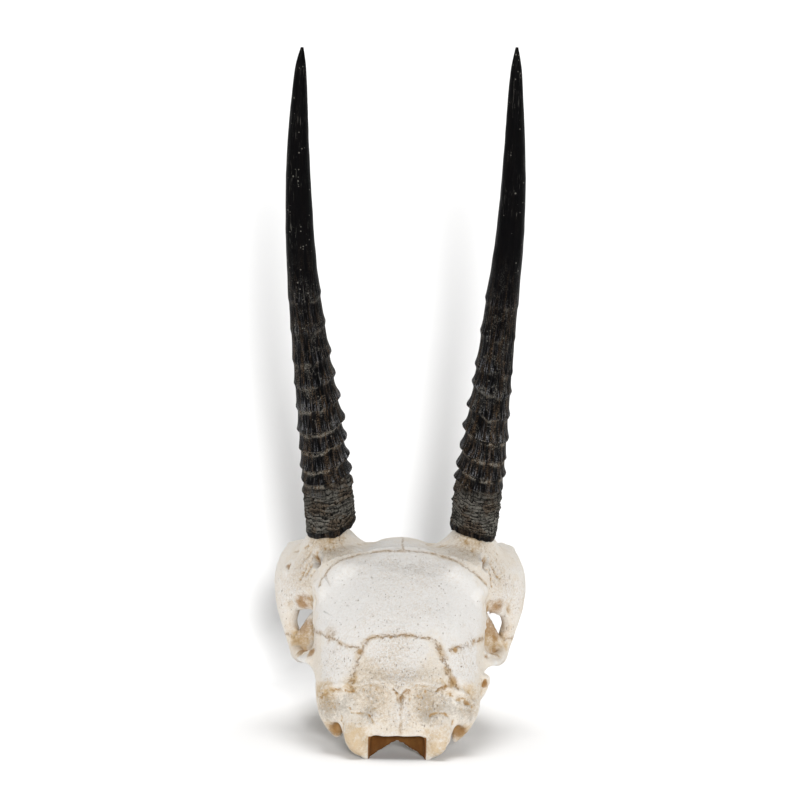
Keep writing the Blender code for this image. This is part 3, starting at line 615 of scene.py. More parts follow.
def fused_bone(grain):
    """The cranium's solid with its small forms, fused in fine blocks and softened."""
    bm = bmesh.new()
    bm.from_mesh(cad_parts["cranium"].data)
    bmesh.ops.remove_doubles(bm, verts=bm.verts, dist=WELD)
    fine = [(np.array(CREST), CREST_REACH)]
    for paired, balls in FORMS:
        for side in (balls, *([[(-x, y, z, radius) for x, y, z, radius in balls]] if paired else [])):
            add_hull(bm, side)
            fine.append((np.array(side)[:, :3], max(ball[3] for ball in side) + FORM_MARGIN))
    line = smooth_line(CREST, CREST_STEP)
    for start, end in zip(line, line[1:]):
        add_hull(bm, [(*start, CREST_RADIUS), (*end, CREST_RADIUS)])
    bone = object_of(finished_mesh(bm, "cranium_bone"), "cranium_bone")
    fuse = bone.modifiers.new("Fuse", "REMESH")
    fuse.mode = "VOXEL"
    fuse.voxel_size = grain
    points, _ = vertex_places(apply_modifiers(bone))

    # the small forms are softened less than the rest
    broad = np.ones(len(points))
    for line, reach in fine:
        near, far, _ = near_line(points, line, reach)
        broad[near] = np.minimum(broad[near], np.clip(far / reach * 4 - 3, 0, 1))
    weigh(bone, "broad", broad)
    for name, rounds in SOFTENING.items():
        soften = bone.modifiers.new("Soften", "SMOOTH")
        soften.factor = 0.5
        soften.iterations = rounds
        soften.vertex_group = name
    apply_modifiers(bone)
    bone.vertex_groups.clear()
    return bone


def weigh(thing, name, weights):
    """Gives a thing's vertices their weights in a vertex group, in steps of a tenth."""
    group = thing.vertex_groups.new(name=name)
    steps = np.round(weights, 1)
    for step in np.unique(steps):
        group.add(np.flatnonzero(steps == step).tolist(), float(step), "REPLACE")


def in_brain_room(place, half_width, half_length, half_height):
    """Whether a place, or each place of three rows, lies in the room of the brain."""
    x, y, z = place
    away = ((y - 44) / half_length) ** 2 + ((z - 36) / half_height) ** 2
    return (abs(x) < half_width) & (y > 24) & (y < 66) & (away < 1)


def refine_back(mesh):
    """Halves the faces that are seen from behind, where the bone's marks are fine."""
    bm = bmesh.new()
    bm.from_mesh(mesh)
    chosen = set()
    for face in bm.faces:
        middle = face.calc_center_median()
        seen = middle.y > BACK_STARTS and face.normal.y + 0.3 * face.normal.z > 0.22
        if seen and not in_brain_room(middle / MM, 23.4, 22, 19):
            chosen.add(face)
    edges = [edge for edge in bm.edges if not chosen.isdisjoint(edge.link_faces)]
    bmesh.ops.subdivide_edges(bm, edges=edges, cuts=1, use_grid_fill=True)
    bm.to_mesh(mesh)
    bm.free()
    mesh.update()


def facing(points, normals, line, near, place):
    """How far each near point faces the way the bone does at its place on the line, from 0 to 1."""
    out = np.empty_like(line)
    close = points[near]
    for index, spot in enumerate(line):
        out[index] = normals[near[np.argmin(np.linalg.norm(close - spot, axis=1))]]
    return np.clip(np.einsum("ij,ij->i", normals[near], out[place]) * 2.5, 0, 1)


def wandering(points):
    """The points, each shifted a little, so that a line measured from them wanders and frays."""
    coarse = np.array([noise.noise_vector(Vector(point) * 0.3) for point in points])
    fine = np.array([noise.noise_vector(Vector(point) * 1.1) for point in points])
    return points + 0.75 * coarse + 0.4 * fine


def raise_reliefs(points, normals):
    """How far the reliefs lift each point, with breaks in the finest of them."""
    lift = np.zeros(len(points))
    breaks = np.clip(1.0 + 1.1 * value_noise(points, 0.55, 21), 0.1, 1.6)
    for height, reach, paired, stations in RELIEFS:
        for line in both_sides(paired, stations):
            line = smooth_line(line)
            near, far, place = near_line(points, line, reach)
            if len(near):
                shape = (1 - (far / reach) ** 2) ** 2
                if reach < FINE_REACH:
                    shape *= breaks[near]
                lift[near] += height * shape * facing(points, normals, line, near, place)
    return lift


def radiating_ridges(points):
    """Fine ridges that run out over the bone from the foot of each horn."""
    apart = np.column_stack([np.abs(points[:, 0]), points[:, 1:]]) - HORN_FOOT
    away = np.linalg.norm(apart, axis=1)
    turn = apart[:, :2] / (np.linalg.norm(apart[:, :2], axis=1)[:, None] + 1e-6)
    where = np.column_stack([turn * 12, away * 0.2]) + np.sign(points[:, :1]) * 20
    strength = np.clip((away - 5) / 3, 0, 1) * np.clip((17 - away) / 6, 0, 1)
    return strength * value_noise(where, 1.0, 31)


def blend_patches(points, patches):
    """How strongly soft round patches cover each point, from 0 to 1."""
    bare = np.ones(len(points))
    for paired, patch in patches:
        for x, y, z, reach, strength in both_sides(paired, patch):
            far = np.linalg.norm(points - (x, y, z), axis=1) / reach
            bare *= 1 - strength * np.clip(1 - far * far, 0, 1) ** 1.2
    return 1 - bare


def canal_share(points, normals):
    """How far each point belongs to the brown wall inside the great opening, from 0 to 1."""
    x, y, z = points.T
    inward = np.clip((-np.sign(x) * normals[:, 0] - 0.35) * 5, 0, 1)
    deep = np.clip((70.8 - y) / 0.8, 0, 1)
    within = np.clip((CANAL_HALF_WIDTH - np.abs(x)) / 0.4, 0, 1)
    underside = (normals[:, 2] <= -0.85) & (z <= 7)
    return np.maximum(inward, deep) * within * ((y > CANAL_FRONT) & (z < CANAL_TOP) & ~underside)


def seam_values(points, normals):
    """For each point: distance across the nearest seam in mm, how near it is, and how dark the seam is."""
    found = np.zeros((len(points), 3))
    best = np.full(len(points), SEAM_REACH)
    for dark, wide, paired, stations in SEAMS:
        for line in both_sides(paired, stations):
            line = smooth_line(line)
            near, far, place = near_line(points, line, SEAM_REACH)
            closer = far < best[near]
            near, far, place = near[closer], far[closer], place[closer]
            run = np.gradient(line, axis=0)[place]
            across = np.cross(run, normals[near])
            across /= np.linalg.norm(across, axis=1)[:, None] + 1e-9
            best[near] = far
            found[near, 0] = np.einsum("ij,ij->i", points[near] - line[place], across) / wide
            found[near, 1] = np.clip((SEAM_REACH - far) / (SEAM_REACH * 0.4), 0, 1)
            found[near, 2] = dark
    return found


def dips(mesh, points, normals, rounds):
    """How far each vertex lies under its surroundings, in millimetres."""
    pairs = np.empty(len(mesh.edges) * 2, np.int32)
    mesh.edges.foreach_get("vertices", pairs)
    first, second = pairs.reshape(-1, 2).T
    count = len(points)
    linked = np.maximum(np.bincount(first, minlength=count) + np.bincount(second, minlength=count), 1)
    soft = points.copy()
    for _ in range(rounds):
        soft = np.stack([np.bincount(first, soft[second, axis], count)
                         + np.bincount(second, soft[first, axis], count) for axis in range(3)], axis=1)
        soft /= linked[:, None]
    return np.einsum("ij,ij->i", soft - points, normals)


def hidden_share(mesh, points, normals):
    """How much of its surroundings each vertex can't see within a few millimetres, from 0 to 1."""
    mesh.calc_loop_triangles()
    corners = np.empty(len(mesh.loop_triangles) * 3, np.int32)
    mesh.loop_triangles.foreach_get("vertices", corners)
    tree = BVHTree.FromPolygons([Vector(point) for point in points], corners.reshape(-1, 3).tolist())
    golden = math.pi * (3 - math.sqrt(5))
    rays = []
    for index in range(SIGHT_LINES):
        height = 1 - 2 * (index + 0.5) / SIGHT_LINES
        wide = math.sqrt(1 - height * height)
        rays.append(Vector((math.cos(golden * index) * wide, math.sin(golden * index) * wide, height)))
    shut = np.zeros(len(points))
    for index, (point, normal) in enumerate(zip(points, normals)):
        out = Vector(normal)
        start = Vector(point) + out * GRAZING
        seen = total = 0.0
        for ray in rays:
            weight = ray.dot(out)
            if weight > GRAZING:
                total += weight
                if tree.ray_cast(start, ray, SIGHT_REACH)[0] is None:
                    seen += weight
        shut[index] = 1 - seen / total
    return shut


def seam_marks(recipe, where, sizes, patches):
    """How thick the toothed lines between the bones are, and the faint stains beside them."""
    across, near, dark = recipe.parts(recipe.stored("seam")["Vector"], "XYZ")
    toothed = recipe.plus(recipe.centred(recipe.noise(where, 520.0, 2.0, 0.6), 2 * sizes.seam_wander / MM),
                          recipe.centred(recipe.noise(where, 1700.0, 1.0, 0.5), 0.9))
    off = recipe.maths("ABSOLUTE", recipe.plus(across, toothed))
    half = sizes.seam_width / MM
    line = recipe.times(recipe.ramp(off, half * 0.3, half * 1.6, 1.0, 0.0), recipe.ramp(near, 0.2, 0.9),
                        dark, recipe.ramp(recipe.noise(where, 1000.0, 3.0, 0.7), 0.44, 0.58, 0.2, 1.0))
    beside = recipe.times(recipe.ramp(recipe.maths("ABSOLUTE", across), 0.1, 1.2, 1.0, 0.0), near, dark,
                          recipe.ramp(patches, 0.38, 0.62))
    return line, beside


def pit_marks(recipe, where, specks, pitted):
    """Round pits and slots, thicker where the bone is pitted."""
    pores = recipe.group(specks, Vector=where, Scale=1900.0, Size=0.34,
                         Density=recipe.scaled(pitted, 0.4, 0.05))
    slots = recipe.group(specks, Vector=recipe.stretched(where, (1.0, 1.0, 0.36)), Scale=1600.0, Size=0.3,
                         Density=recipe.times(pitted, 0.45))
    return recipe.maths("MAXIMUM", pores["Mask"], slots["Mask"])


def bone_material(colours, sizes):
    specks, mottle = shared_effects()
    made, recipe, shader = new_material("weathered_bone", 0.55)
    where = recipe.add("ShaderNodeTexCoord").outputs["Object"]
    tint, wear = recipe.stored("tint"), recipe.stored("wear")
    chalk_and_light, ochre, ash_and_shade = recipe.parts(tint["Color"])
    pitted, hidden, dip = recipe.parts(wear["Color"])
    rust, canal = tint["Alpha"], wear["Alpha"]
    broad = recipe.group(mottle, Vector=where, Scale=60.0)
    small = recipe.group(mottle, Vector=where, Scale=330.0)
    crumbs = recipe.noise(where, 1250.0, 3.0, 0.7)

    def patchy(mask, low, high, crumbly=1.1):
        """Breaks a soft patch up, so that its edge is natural."""
        spread = recipe.plus(recipe.centred(broad["Patches"], 1.1), recipe.centred(small["Patches"], 0.9),
                             recipe.centred(small["Grain"], 0.5), recipe.centred(crumbs, crumbly))
        return recipe.ramp(recipe.plus(mask, recipe.times(spread, recipe.ramp(mask, 0.0, 0.3))), low, high)

    paint = Paint(recipe, colours.ivory)
    # bleaching, together with painted light on the forehead's shaded strip
    paint.coat(colours.chalk_and_light, patchy(chalk_and_light, 0.2, 0.7))
    paint.coat(colours.ochre, patchy(ochre, 0.25, 0.95), 0.8)
    # grey weathering together with painted shade in hollows
    paint.coat(colours.ash_and_shade, patchy(ash_and_shade, 0.2, 0.85), 0.7)

    # fine tan flecks, thicker on rough bone, and flakes that stay white
    rough = recipe.plus(recipe.times(pitted, 0.75), recipe.ramp(broad["Patches"], 0.4, 0.65, 0.08, 0.35))
    tan = recipe.noise(where, 1900.0, 4.0, 0.75)
    flecks = recipe.ramp(recipe.plus(tan, recipe.times(rough, 0.14)), 0.52, 0.66)
    paint.coat(colours.tan, recipe.times(flecks, rough, clamp=True), 0.55)
    paint.coat(colours.tan, recipe.ramp(crumbs, 0.42, 0.62, 0.0, 0.1))
    flakes = recipe.ramp(recipe.noise(where, 850.0, 5.0, 0.7), 0.55, 0.66)
    paint.coat(colours.chalk_and_light, flakes, 0.55)
    paint.coat(colours.tan, recipe.ramp(small["Grain"], 0.52, 0.7), recipe.scaled(pitted, 0.3, 0.08))

    # what lies low at the back is painted tan and rust, earth together with painted shade in the creases,
    # and what stands out is painted whiter, rubbed bone together with a painted highlight
    handled = recipe.times(recipe.ramp(recipe.parts(where, "XYZ")[1], 0.020, 0.045, 0.25, 1.0),
                           recipe.ramp(chalk_and_light, 0.3, 0.9, 1.0, 0.2))
    low_lying = recipe.plus(dip, recipe.centred(small["Patches"], 0.35))
    soil_and_shade_patches = recipe.plus(small["Patches"], recipe.centred(small["Grain"], 0.8))
    soil_and_shade_patches = recipe.ramp(soil_and_shade_patches, 0.34, 0.62, 0.25, 1.0)
    paint.coat(colours.tan, recipe.ramp(low_lying, 0.56, 0.86), soil_and_shade_patches, handled, 0.8)
    paint.coat(colours.rust, recipe.ramp(low_lying, 0.74, 1.0), soil_and_shade_patches, handled, 0.6)
    paint.coat(colours.chalk_and_light, recipe.ramp(low_lying, 0.2, 0.4, 1.0, 0.0), 0.3)
    # hollows that see little of their surroundings are painted rust: earth together with painted shade
    deep = recipe.ramp(recipe.plus(hidden, recipe.centred(small["Patches"], 0.25)), 0.42, 0.98)
    paint.coat(colours.rust, deep, handled, recipe.ramp(ash_and_shade, 0.3, 0.9, 0.75, 0.2))
    paint.coat(colours.rust, patchy(rust, 0.3, 0.8, 0.2), 0.9)
    stained = recipe.mix(recipe.ramp(small["Patches"], 0.4, 0.7, 0.0, 0.3), colours.umber, colours.rust)
    paint.coat(stained, recipe.ramp(canal, 0.0, 0.8))

    line, beside = seam_marks(recipe, where, sizes, small["Patches"])
    paint.coat(colours.tan, beside, 0.7)
    paint.coat(colours.rust, line, 0.7)
    pits = pit_marks(recipe, where, specks, pitted)
    paint.coat(colours.earth, pits, recipe.ramp(small["Patches"], 0.3, 0.7, 0.15, 0.75))
    recipe.feed(shader["Base Color"], paint.colour)
    polish = recipe.plus(ochre, recipe.times(small["Grain"], 0.3))
    recipe.feed(shader["Roughness"], recipe.ramp(polish, 0.0, 1.1, 0.68, 0.42))
    recipe.feed(shader["Specular IOR Level"], recipe.ramp(canal, 0.0, 1.0, 0.3, 0.05))

    crumbled = recipe.times(recipe.noise(where, 800.0, 6.0, 0.75), recipe.scaled(pitted, 0.5, 0.08))
    height = recipe.plus(recipe.times(small["Grain"], 0.14), recipe.times(broad["Grain"], 0.14),
                         recipe.times(flakes, 0.05), recipe.times(pits, -0.22),
                         recipe.times(line, -0.3), crumbled)
    recipe.feed(shader["Normal"], recipe.bump(height, MM))
    return made


def shape_bone(mesh, sizes):
    """Gives the fused bone its reliefs, pits and unevenness, inside the solid's own box."""
    points, normals = vertex_places(mesh)
    lift = raise_reliefs(wandering(points), normals)
    lift += sizes.bone_swell / MM * (value_noise(points, 0.16, 1) + 0.45 * value_noise(points, 0.5, 2))
    rough = 0.2 + blend_patches(points, PITTED)
    lift -= 0.3 * rough * np.clip(value_noise(points, 1.3, 3) - 0.05, 0, 1)
    lift += 0.2 * rough * value_noise(points, 0.55, 14)
    lift += 0.2 * radiating_ridges(points)
    points += normals * lift[:, None]
    low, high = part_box("cranium")
    place_vertices(mesh, np.clip(points, np.array(low) / MM, np.array(high) / MM))


def thin_out(bone):
    """Takes faces from the parts that are seen least, so that the piece stays light."""
    mesh = bone.data
    points, _ = vertex_places(mesh)
    spare = np.clip((46 - points[:, 1]) / 12, 0, 1) * 0.6 + 0.03
    spare[in_brain_room(points.T, 22.6, 21, 18)] = 1.0
    weigh(bone, "spare", spare)
    thin = bone.modifiers.new("Thin", "DECIMATE")
    mesh.calc_loop_triangles()
    thin.ratio = min(1.0, FACE_LIMIT / len(mesh.loop_triangles))
    thin.vertex_group = "spare"
    apply_modifiers(bone)
    bone.vertex_groups.clear()


def make_cranium(sizes, colours):
    bone = fused_bone(sizes.bone_grain)
    refine_back(bone.data)
    shape_bone(bone.data, sizes)
    thin_out(bone)

    mesh = bone.data
    points, normals = vertex_places(mesh)
    tint = np.stack([blend_patches(points, patches) for patches in TINTS.values()], axis=1)
    store(mesh, "tint", "FLOAT_COLOR", tint)
    frayed = points + 0.35 * (wandering(points) - points)
    store(mesh, "seam", "FLOAT_VECTOR", seam_values(frayed, normals))
    # how shut in each vertex is, for the painted shade and earth in the hollows
    hidden = hidden_share(mesh, points, normals)
    dip = np.clip(dips(mesh, points, normals, 7) / 0.5 + 0.5, 0, 1)
    wear = np.stack([blend_patches(points, PITTED), hidden, dip, canal_share(points, normals)], axis=1)
    store(mesh, "wear", "FLOAT_COLOR", wear)
    mesh.shade_smooth()
    dress(bone, "cranium", bone_material(colours, sizes))


# Horns

# The centre line of each horn, in places of (how far out, y, z), with the sheath's radius
HORN_LINES = {
    LEFT: [(21.7, 35.0, 64.6, 7.0), (22.9, 40.0, 76.6, 6.78), (24.3, 44.9, 88.5, 6.42),
           (25.6, 49.9, 101.6, 6.16), (27.3, 54.6, 114.7, 5.62), (29.0, 59.0, 127.9, 5.07),
           (30.5, 63.1, 141.2, 4.61), (31.5, 66.9, 154.6, 4.29), (32.1, 70.2, 168.2, 3.9),
           (32.4, 73.4, 181.8, 3.3), (32.2, 76.2, 195.5, 2.49), (31.9, 78.2, 206.4, 1.62),
           (31.5, 79.5, 212.2, 0.4)],
    RIGHT: [(22.5, 35.0, 64.6, 6.6), (23.7, 40.0, 76.6, 6.43), (24.9, 44.9, 88.5, 6.29),
            (26.0, 49.9, 101.6, 5.76), (27.1, 54.6, 114.7, 5.31), (28.2, 59.0, 127.9, 4.97),
            (29.4, 63.1, 141.2, 4.65), (30.6, 66.9, 154.6, 4.32), (31.3, 70.2, 168.2, 3.85),
            (31.5, 73.4, 181.8, 3.22), (31.4, 76.2, 195.5, 2.44), (31.4, 78.2, 206.4, 1.67),
            (31.4, 79.5, 213.3, 0.4)],
}

# Ring lips up each horn: distance from the foot, how far the lip stands out, and how far it is tilted
RING_LIPS = {
    LEFT: [(16.6, 0.5, 0.8), (21.0, 0.7, 1.0), (26.0, 0.8, 1.2), (32.4, 0.85, 1.3), (38.4, 0.85, 1.3),
           (46.0, 0.8, 1.2), (53.6, 0.7, 1.0), (60.8, 0.6, 0.8), (70.3, 0.45, 0.6), (80.0, 0.35, 0.5)],
    RIGHT: [(10.8, 0.3, 0.6), (14.9, 0.45, 0.8), (19.2, 0.65, 1.0), (23.9, 0.8, 1.1), (29.9, 0.85, 1.2),
            (36.5, 0.85, 1.3), (44.0, 0.8, 1.2), (51.5, 0.75, 1.0), (58.0, 0.6, 0.8), (68.5, 0.4, 0.6),
            (79.0, 0.4, 0.5)],
}

# How high the foot's edge stands round the back of each horn, from the outer side (-1) to the inner (1)
FOOT_TURNS = (-1.0, -0.73, 0.0, 0.2, 0.5, 0.75, 1.0)
FOOT_BACK = {LEFT: (0.5, 2.4, 2.5, 2.15, 2.75, 2.75, 2.95), RIGHT: (0.3, 1.5, 2.9, 2.95, 2.75, 2.4, 1.75)}
FOOT_FRONT = {LEFT: (0.5, 0.6, 0.9, 1.1, 1.6, 2.2, 2.95), RIGHT: (0.3, 0.3, 0.3, 0.4, 0.8, 1.2, 1.75)}
HORN_SIDES = 160
HORN_TURNS = np.arange(HORN_SIDES) * math.tau / HORN_SIDES
SKIN_RADIUS = 7.0
LIP_STEP = 0.55
RINGS_END = 86.0
FLAKY_LENGTH = 19.0
RING_SEED = {LEFT: 11, RIGHT: 23}

# The room for the core: how far up it each ring lies, and its radius
CORE_ROOM = [(9.4, 4.3), (8.2, 5.0), (4.0, 5.35), (0.5, 5.6)]


class HornPath:
    """A horn's centre line by distance from the sheath's foot."""

    def __init__(self, side):
        self.line = smooth_line(HORN_LINES[side], 1.0)
        self.line[:, 0] *= side
        steps = np.linalg.norm(np.diff(self.line[:, :3], axis=0), axis=1)
        self.marks = np.concatenate([[0], np.cumsum(steps)])
        self.length = self.marks[-1]

    def at(self, distance):
        """Centre, radius and direction at some distances."""
        found = [np.interp(distance, self.marks, self.line[:, axis]) for axis in range(4)]
        slopes = np.gradient(self.line[:, :3], self.marks, axis=0)
        along = np.stack([np.interp(distance, self.marks, slopes[:, axis]) for axis in range(3)], axis=-1)
        along /= np.linalg.norm(along, axis=-1, keepdims=True)
        return np.stack(found[:3], axis=-1), found[3], along


def horn_rows(lips, length):
    """Distances of the rows of a horn's mesh, close together where the surface is fine."""
    rows = {*np.round(np.arange(1.4, RINGS_END, 0.34), 2)}
    rows |= {*np.round(np.arange(RINGS_END, length - 3, 1.0), 2)}
    for distance, _, _ in lips:
        rows = {row for row in rows if not -1.0 < row - distance < 0.5}
        rows |= {distance - LIP_STEP - 0.35, distance - LIP_STEP, distance - LIP_STEP * 0.45,
                 distance - 0.08, distance, distance + 0.12, distance + 0.35}
    tip = [length - gap for gap in (2.6, 2.0, 1.4, 0.9, 0.5, 0.25, 0.1)]
    return np.array(sorted(rows) + tip)


def ring_profile(rows, lips):
    """For each row: how far the rings lift it, and how close under a lip it is.

    Higher up the horn the lips are round swellings.
    """
    lift, crust = np.zeros(len(rows)), np.zeros(len(rows))
    ends = [distance for distance, _, _ in lips[1:]] + [lips[-1][0] + 14]
    for (distance, height, _), above in zip(lips, ends):
        part = np.clip((rows - distance) / (above - LIP_STEP - distance), 0, 1)
        worn = float(np.clip((distance - 38) / 14, 0, 1))
        flare = (1 - part) ** (2.5 + 1.5 * worn)
        step = LIP_STEP * (1 + 3 * worn)
        under = np.clip((rows - distance + step) / step, 0, 1) ** 1.3
        under += worn * (3 * under ** 2 - 2 * under ** 3 - under)
        lift += height * (1 - 0.25 * worn) * np.where(rows >= distance, flare, under)
        crust += np.exp(-(((rows - distance + 1.15) / 0.55) ** 2)) * min(1, height / 0.6) * (1 - 0.75 * worn)
    return lift, np.clip(crust, 0, 1)


def ring_tilts(side, rows, skin, length):
    """How far along the horn each place of each row is shifted, so that the rings lie askew."""
    lips = RING_LIPS[side]
    inward = np.cos(HORN_TURNS)
    draw = random.Random(RING_SEED[side])
    marks = [0.0] + [distance for distance, _, _ in lips] + [110.0, length]
    leans = [0.9] + [lean for _, _, lean in lips] + [0.2, 0.0]
    wobble = np.zeros((len(marks), HORN_SIDES))
    for ring in wobble[:-1]:
        for beat in (2, 3, 5, 8):
            wave = np.sin(beat * HORN_TURNS + draw.uniform(0, math.tau))
            ring += wave * draw.uniform(0.08, 0.3) / beat ** 0.5
    wobble[-2:] = 0.0

    # the side of each ring that faces the other horn and the forehead stands highest
    tilt = np.interp(rows, marks, leans)[:, None] * (inward - 1)
    behind = np.clip(0.5 - 2 * side * np.sin(HORN_TURNS), 0, 1)
    foot = sum(share * np.interp(inward, FOOT_TURNS, heights[side])
               for share, heights in ((behind, FOOT_BACK), (1 - behind, FOOT_FRONT)))
    tilt += np.interp(rows, (0, 4, 12), (1.0, 0.65, 0.0))[:, None] * foot
    tilt += np.stack([np.interp(rows, marks, column) for column in wobble.T], axis=1)
    return tilt + 0.3 * value_noise(skin * (0.35, 0.35, 0.1), 1.0, 15).reshape(tilt.shape)


def sheath_rise(skin, inward, lift, sizes):
    """How far each place of a sheath stands out of its plain taper, and how flaky it is."""
    up = skin[:, 2]

    # rings, strongest on the inner side
    strong = 0.85 + 0.75 * np.clip(inward, 0, 1)
    strong *= 1 + 0.45 * value_noise(skin * (0.16, 0.16, 0.25), 1.0, 4)
    rise = np.repeat(lift, HORN_SIDES) * strong * sizes.ring_lift

    # fine ridges up the horn, and flaking layers at its foot
    fade = np.clip((96 - up) / 30, 0.25, 1)
    ridges = value_noise(skin * (1.15, 1.15, 0.05), 1.0, 5)
    ridges += 0.6 * value_noise(skin * (2.4, 2.4, 0.09), 1.0, 6)
    flaky = np.clip((FLAKY_LENGTH + 3 * value_noise(skin * 0.12, 1.0, 7) - up) / 4, 0, 1)
    rise += sizes.ridge_depth / MM * ridges * fade * (1 - 0.75 * flaky)
    layer = up / 1.15 + 1.3 * value_noise(skin * (0.16, 0.16, 0.1), 1.0, 8)
    layer += 0.35 * value_noise(skin * 0.8, 1.0, 9)
    step = 1 - (layer - np.floor(layer))
    flakes = (step - 0.5) + 1.1 * value_noise(skin * (0.8, 0.8, 1.4), 1.0, 10)
    rise += (sizes.scale_depth / MM * flakes + 0.25) * flaky
    rise += 0.12 * value_noise(skin * 0.22, 1.0, 12)
    return rise, flaky


def foot_rings(path, out, lean, edge):
    """Rings of the room for the core and of the ragged rim, all tilted with the sheath's first row."""

    def ring_at(at, reach, lower):
        middle, _, way = path.at(np.clip(at + lean, -2, 60))
        return middle + out * reach - way * lower

    circle = np.column_stack([np.cos(HORN_TURNS), np.sin(HORN_TURNS), np.zeros(HORN_SIDES)]) * SKIN_RADIUS
    ragged = value_noise(circle * 0.55, 1.0, 13)[:, None]
    edge = edge[:, None]
    return [ring_at(at, reach, 0.0) for at, reach in CORE_ROOM] + [
        ring_at(0.25, edge - 1.0, 0.35 + 0.3 * ragged),
        ring_at(0.25, edge - 0.25, 0.25 + 0.3 * ragged),
        ring_at(0.8, edge + 0.05, 0.1 * ragged),
    ]


def horn_mesh(side, sizes):
    """A sheath's mesh, with what its material needs stored on it."""
    path = HornPath(side)
    rows = horn_rows(RING_LIPS[side], path.length)
    lift, crust = ring_profile(rows, RING_LIPS[side])
    angle = np.tile(HORN_TURNS, len(rows))
    inward = np.cos(angle)
    up = np.repeat(rows, HORN_SIDES)
    skin = np.stack([inward * SKIN_RADIUS, np.sin(angle) * SKIN_RADIUS, up], axis=1)
    tilt = ring_tilts(side, rows, skin, path.length)
    distance = rows[:, None] + tilt * np.clip((path.length - rows) / 60, 0, 1)[:, None]
    centre, radius, along = path.at(np.clip(distance, -2.5, path.length).ravel())

    # across the horn: towards the other one, and square to that
    thin = np.zeros_like(along)
    thin[:, 0] = -side
    thin -= along * np.einsum("ij,ij->i", thin, along)[:, None]
    thin /= np.linalg.norm(thin, axis=1)[:, None]
    out = thin * inward[:, None] + np.cross(along, thin) * np.sin(angle)[:, None]

    rise, flaky = sheath_rise(skin, inward, lift, sizes)
    rise *= np.clip((path.length - up) / 25, 0.0, 1.0)
    swell = np.interp(up, (0, 20, 45, 100, 125), (0.85, 0.75, 0.3, 0.0, 0.0))
    full = np.maximum(radius + rise + swell * (0.5 + 0.5 * inward), 0.06)
    shell = centre + out * full[:, None]
    rings = foot_rings(path, out[:HORN_SIDES], tilt[0], full[:HORN_SIDES])
    extra = len(rings) * HORN_SIDES
    bm, bands, _ = lofted([*rings, *shell.reshape(len(rows), HORN_SIDES, 3)])
    bmesh.ops.recalc_face_normals(bm, faces=bm.faces)
    place_of = {vert: index for index, vert in enumerate(vert for band in bands for vert in band)}
    order = [place_of[vert] for vert in bm.verts]
    mesh = finished_mesh(bm, "horn")

    skin = np.vstack([skin[:HORN_SIDES] * (1, 1, 0)] * len(rings) + [skin])
    raised = np.clip(lift / 0.9, 0, 1)
    marks = [np.pad(np.repeat(crust, HORN_SIDES), (extra, 0)),
             np.pad(flaky, (extra, 0), constant_values=1.0),
             np.pad(np.repeat(raised, HORN_SIDES), (extra, 0)), np.ones(len(skin))]
    store(mesh, "skin", "FLOAT_VECTOR", skin[order])
    store(mesh, "marks", "FLOAT_COLOR", np.stack(marks, axis=1)[order])
    mesh.shade_smooth()
    return mesh


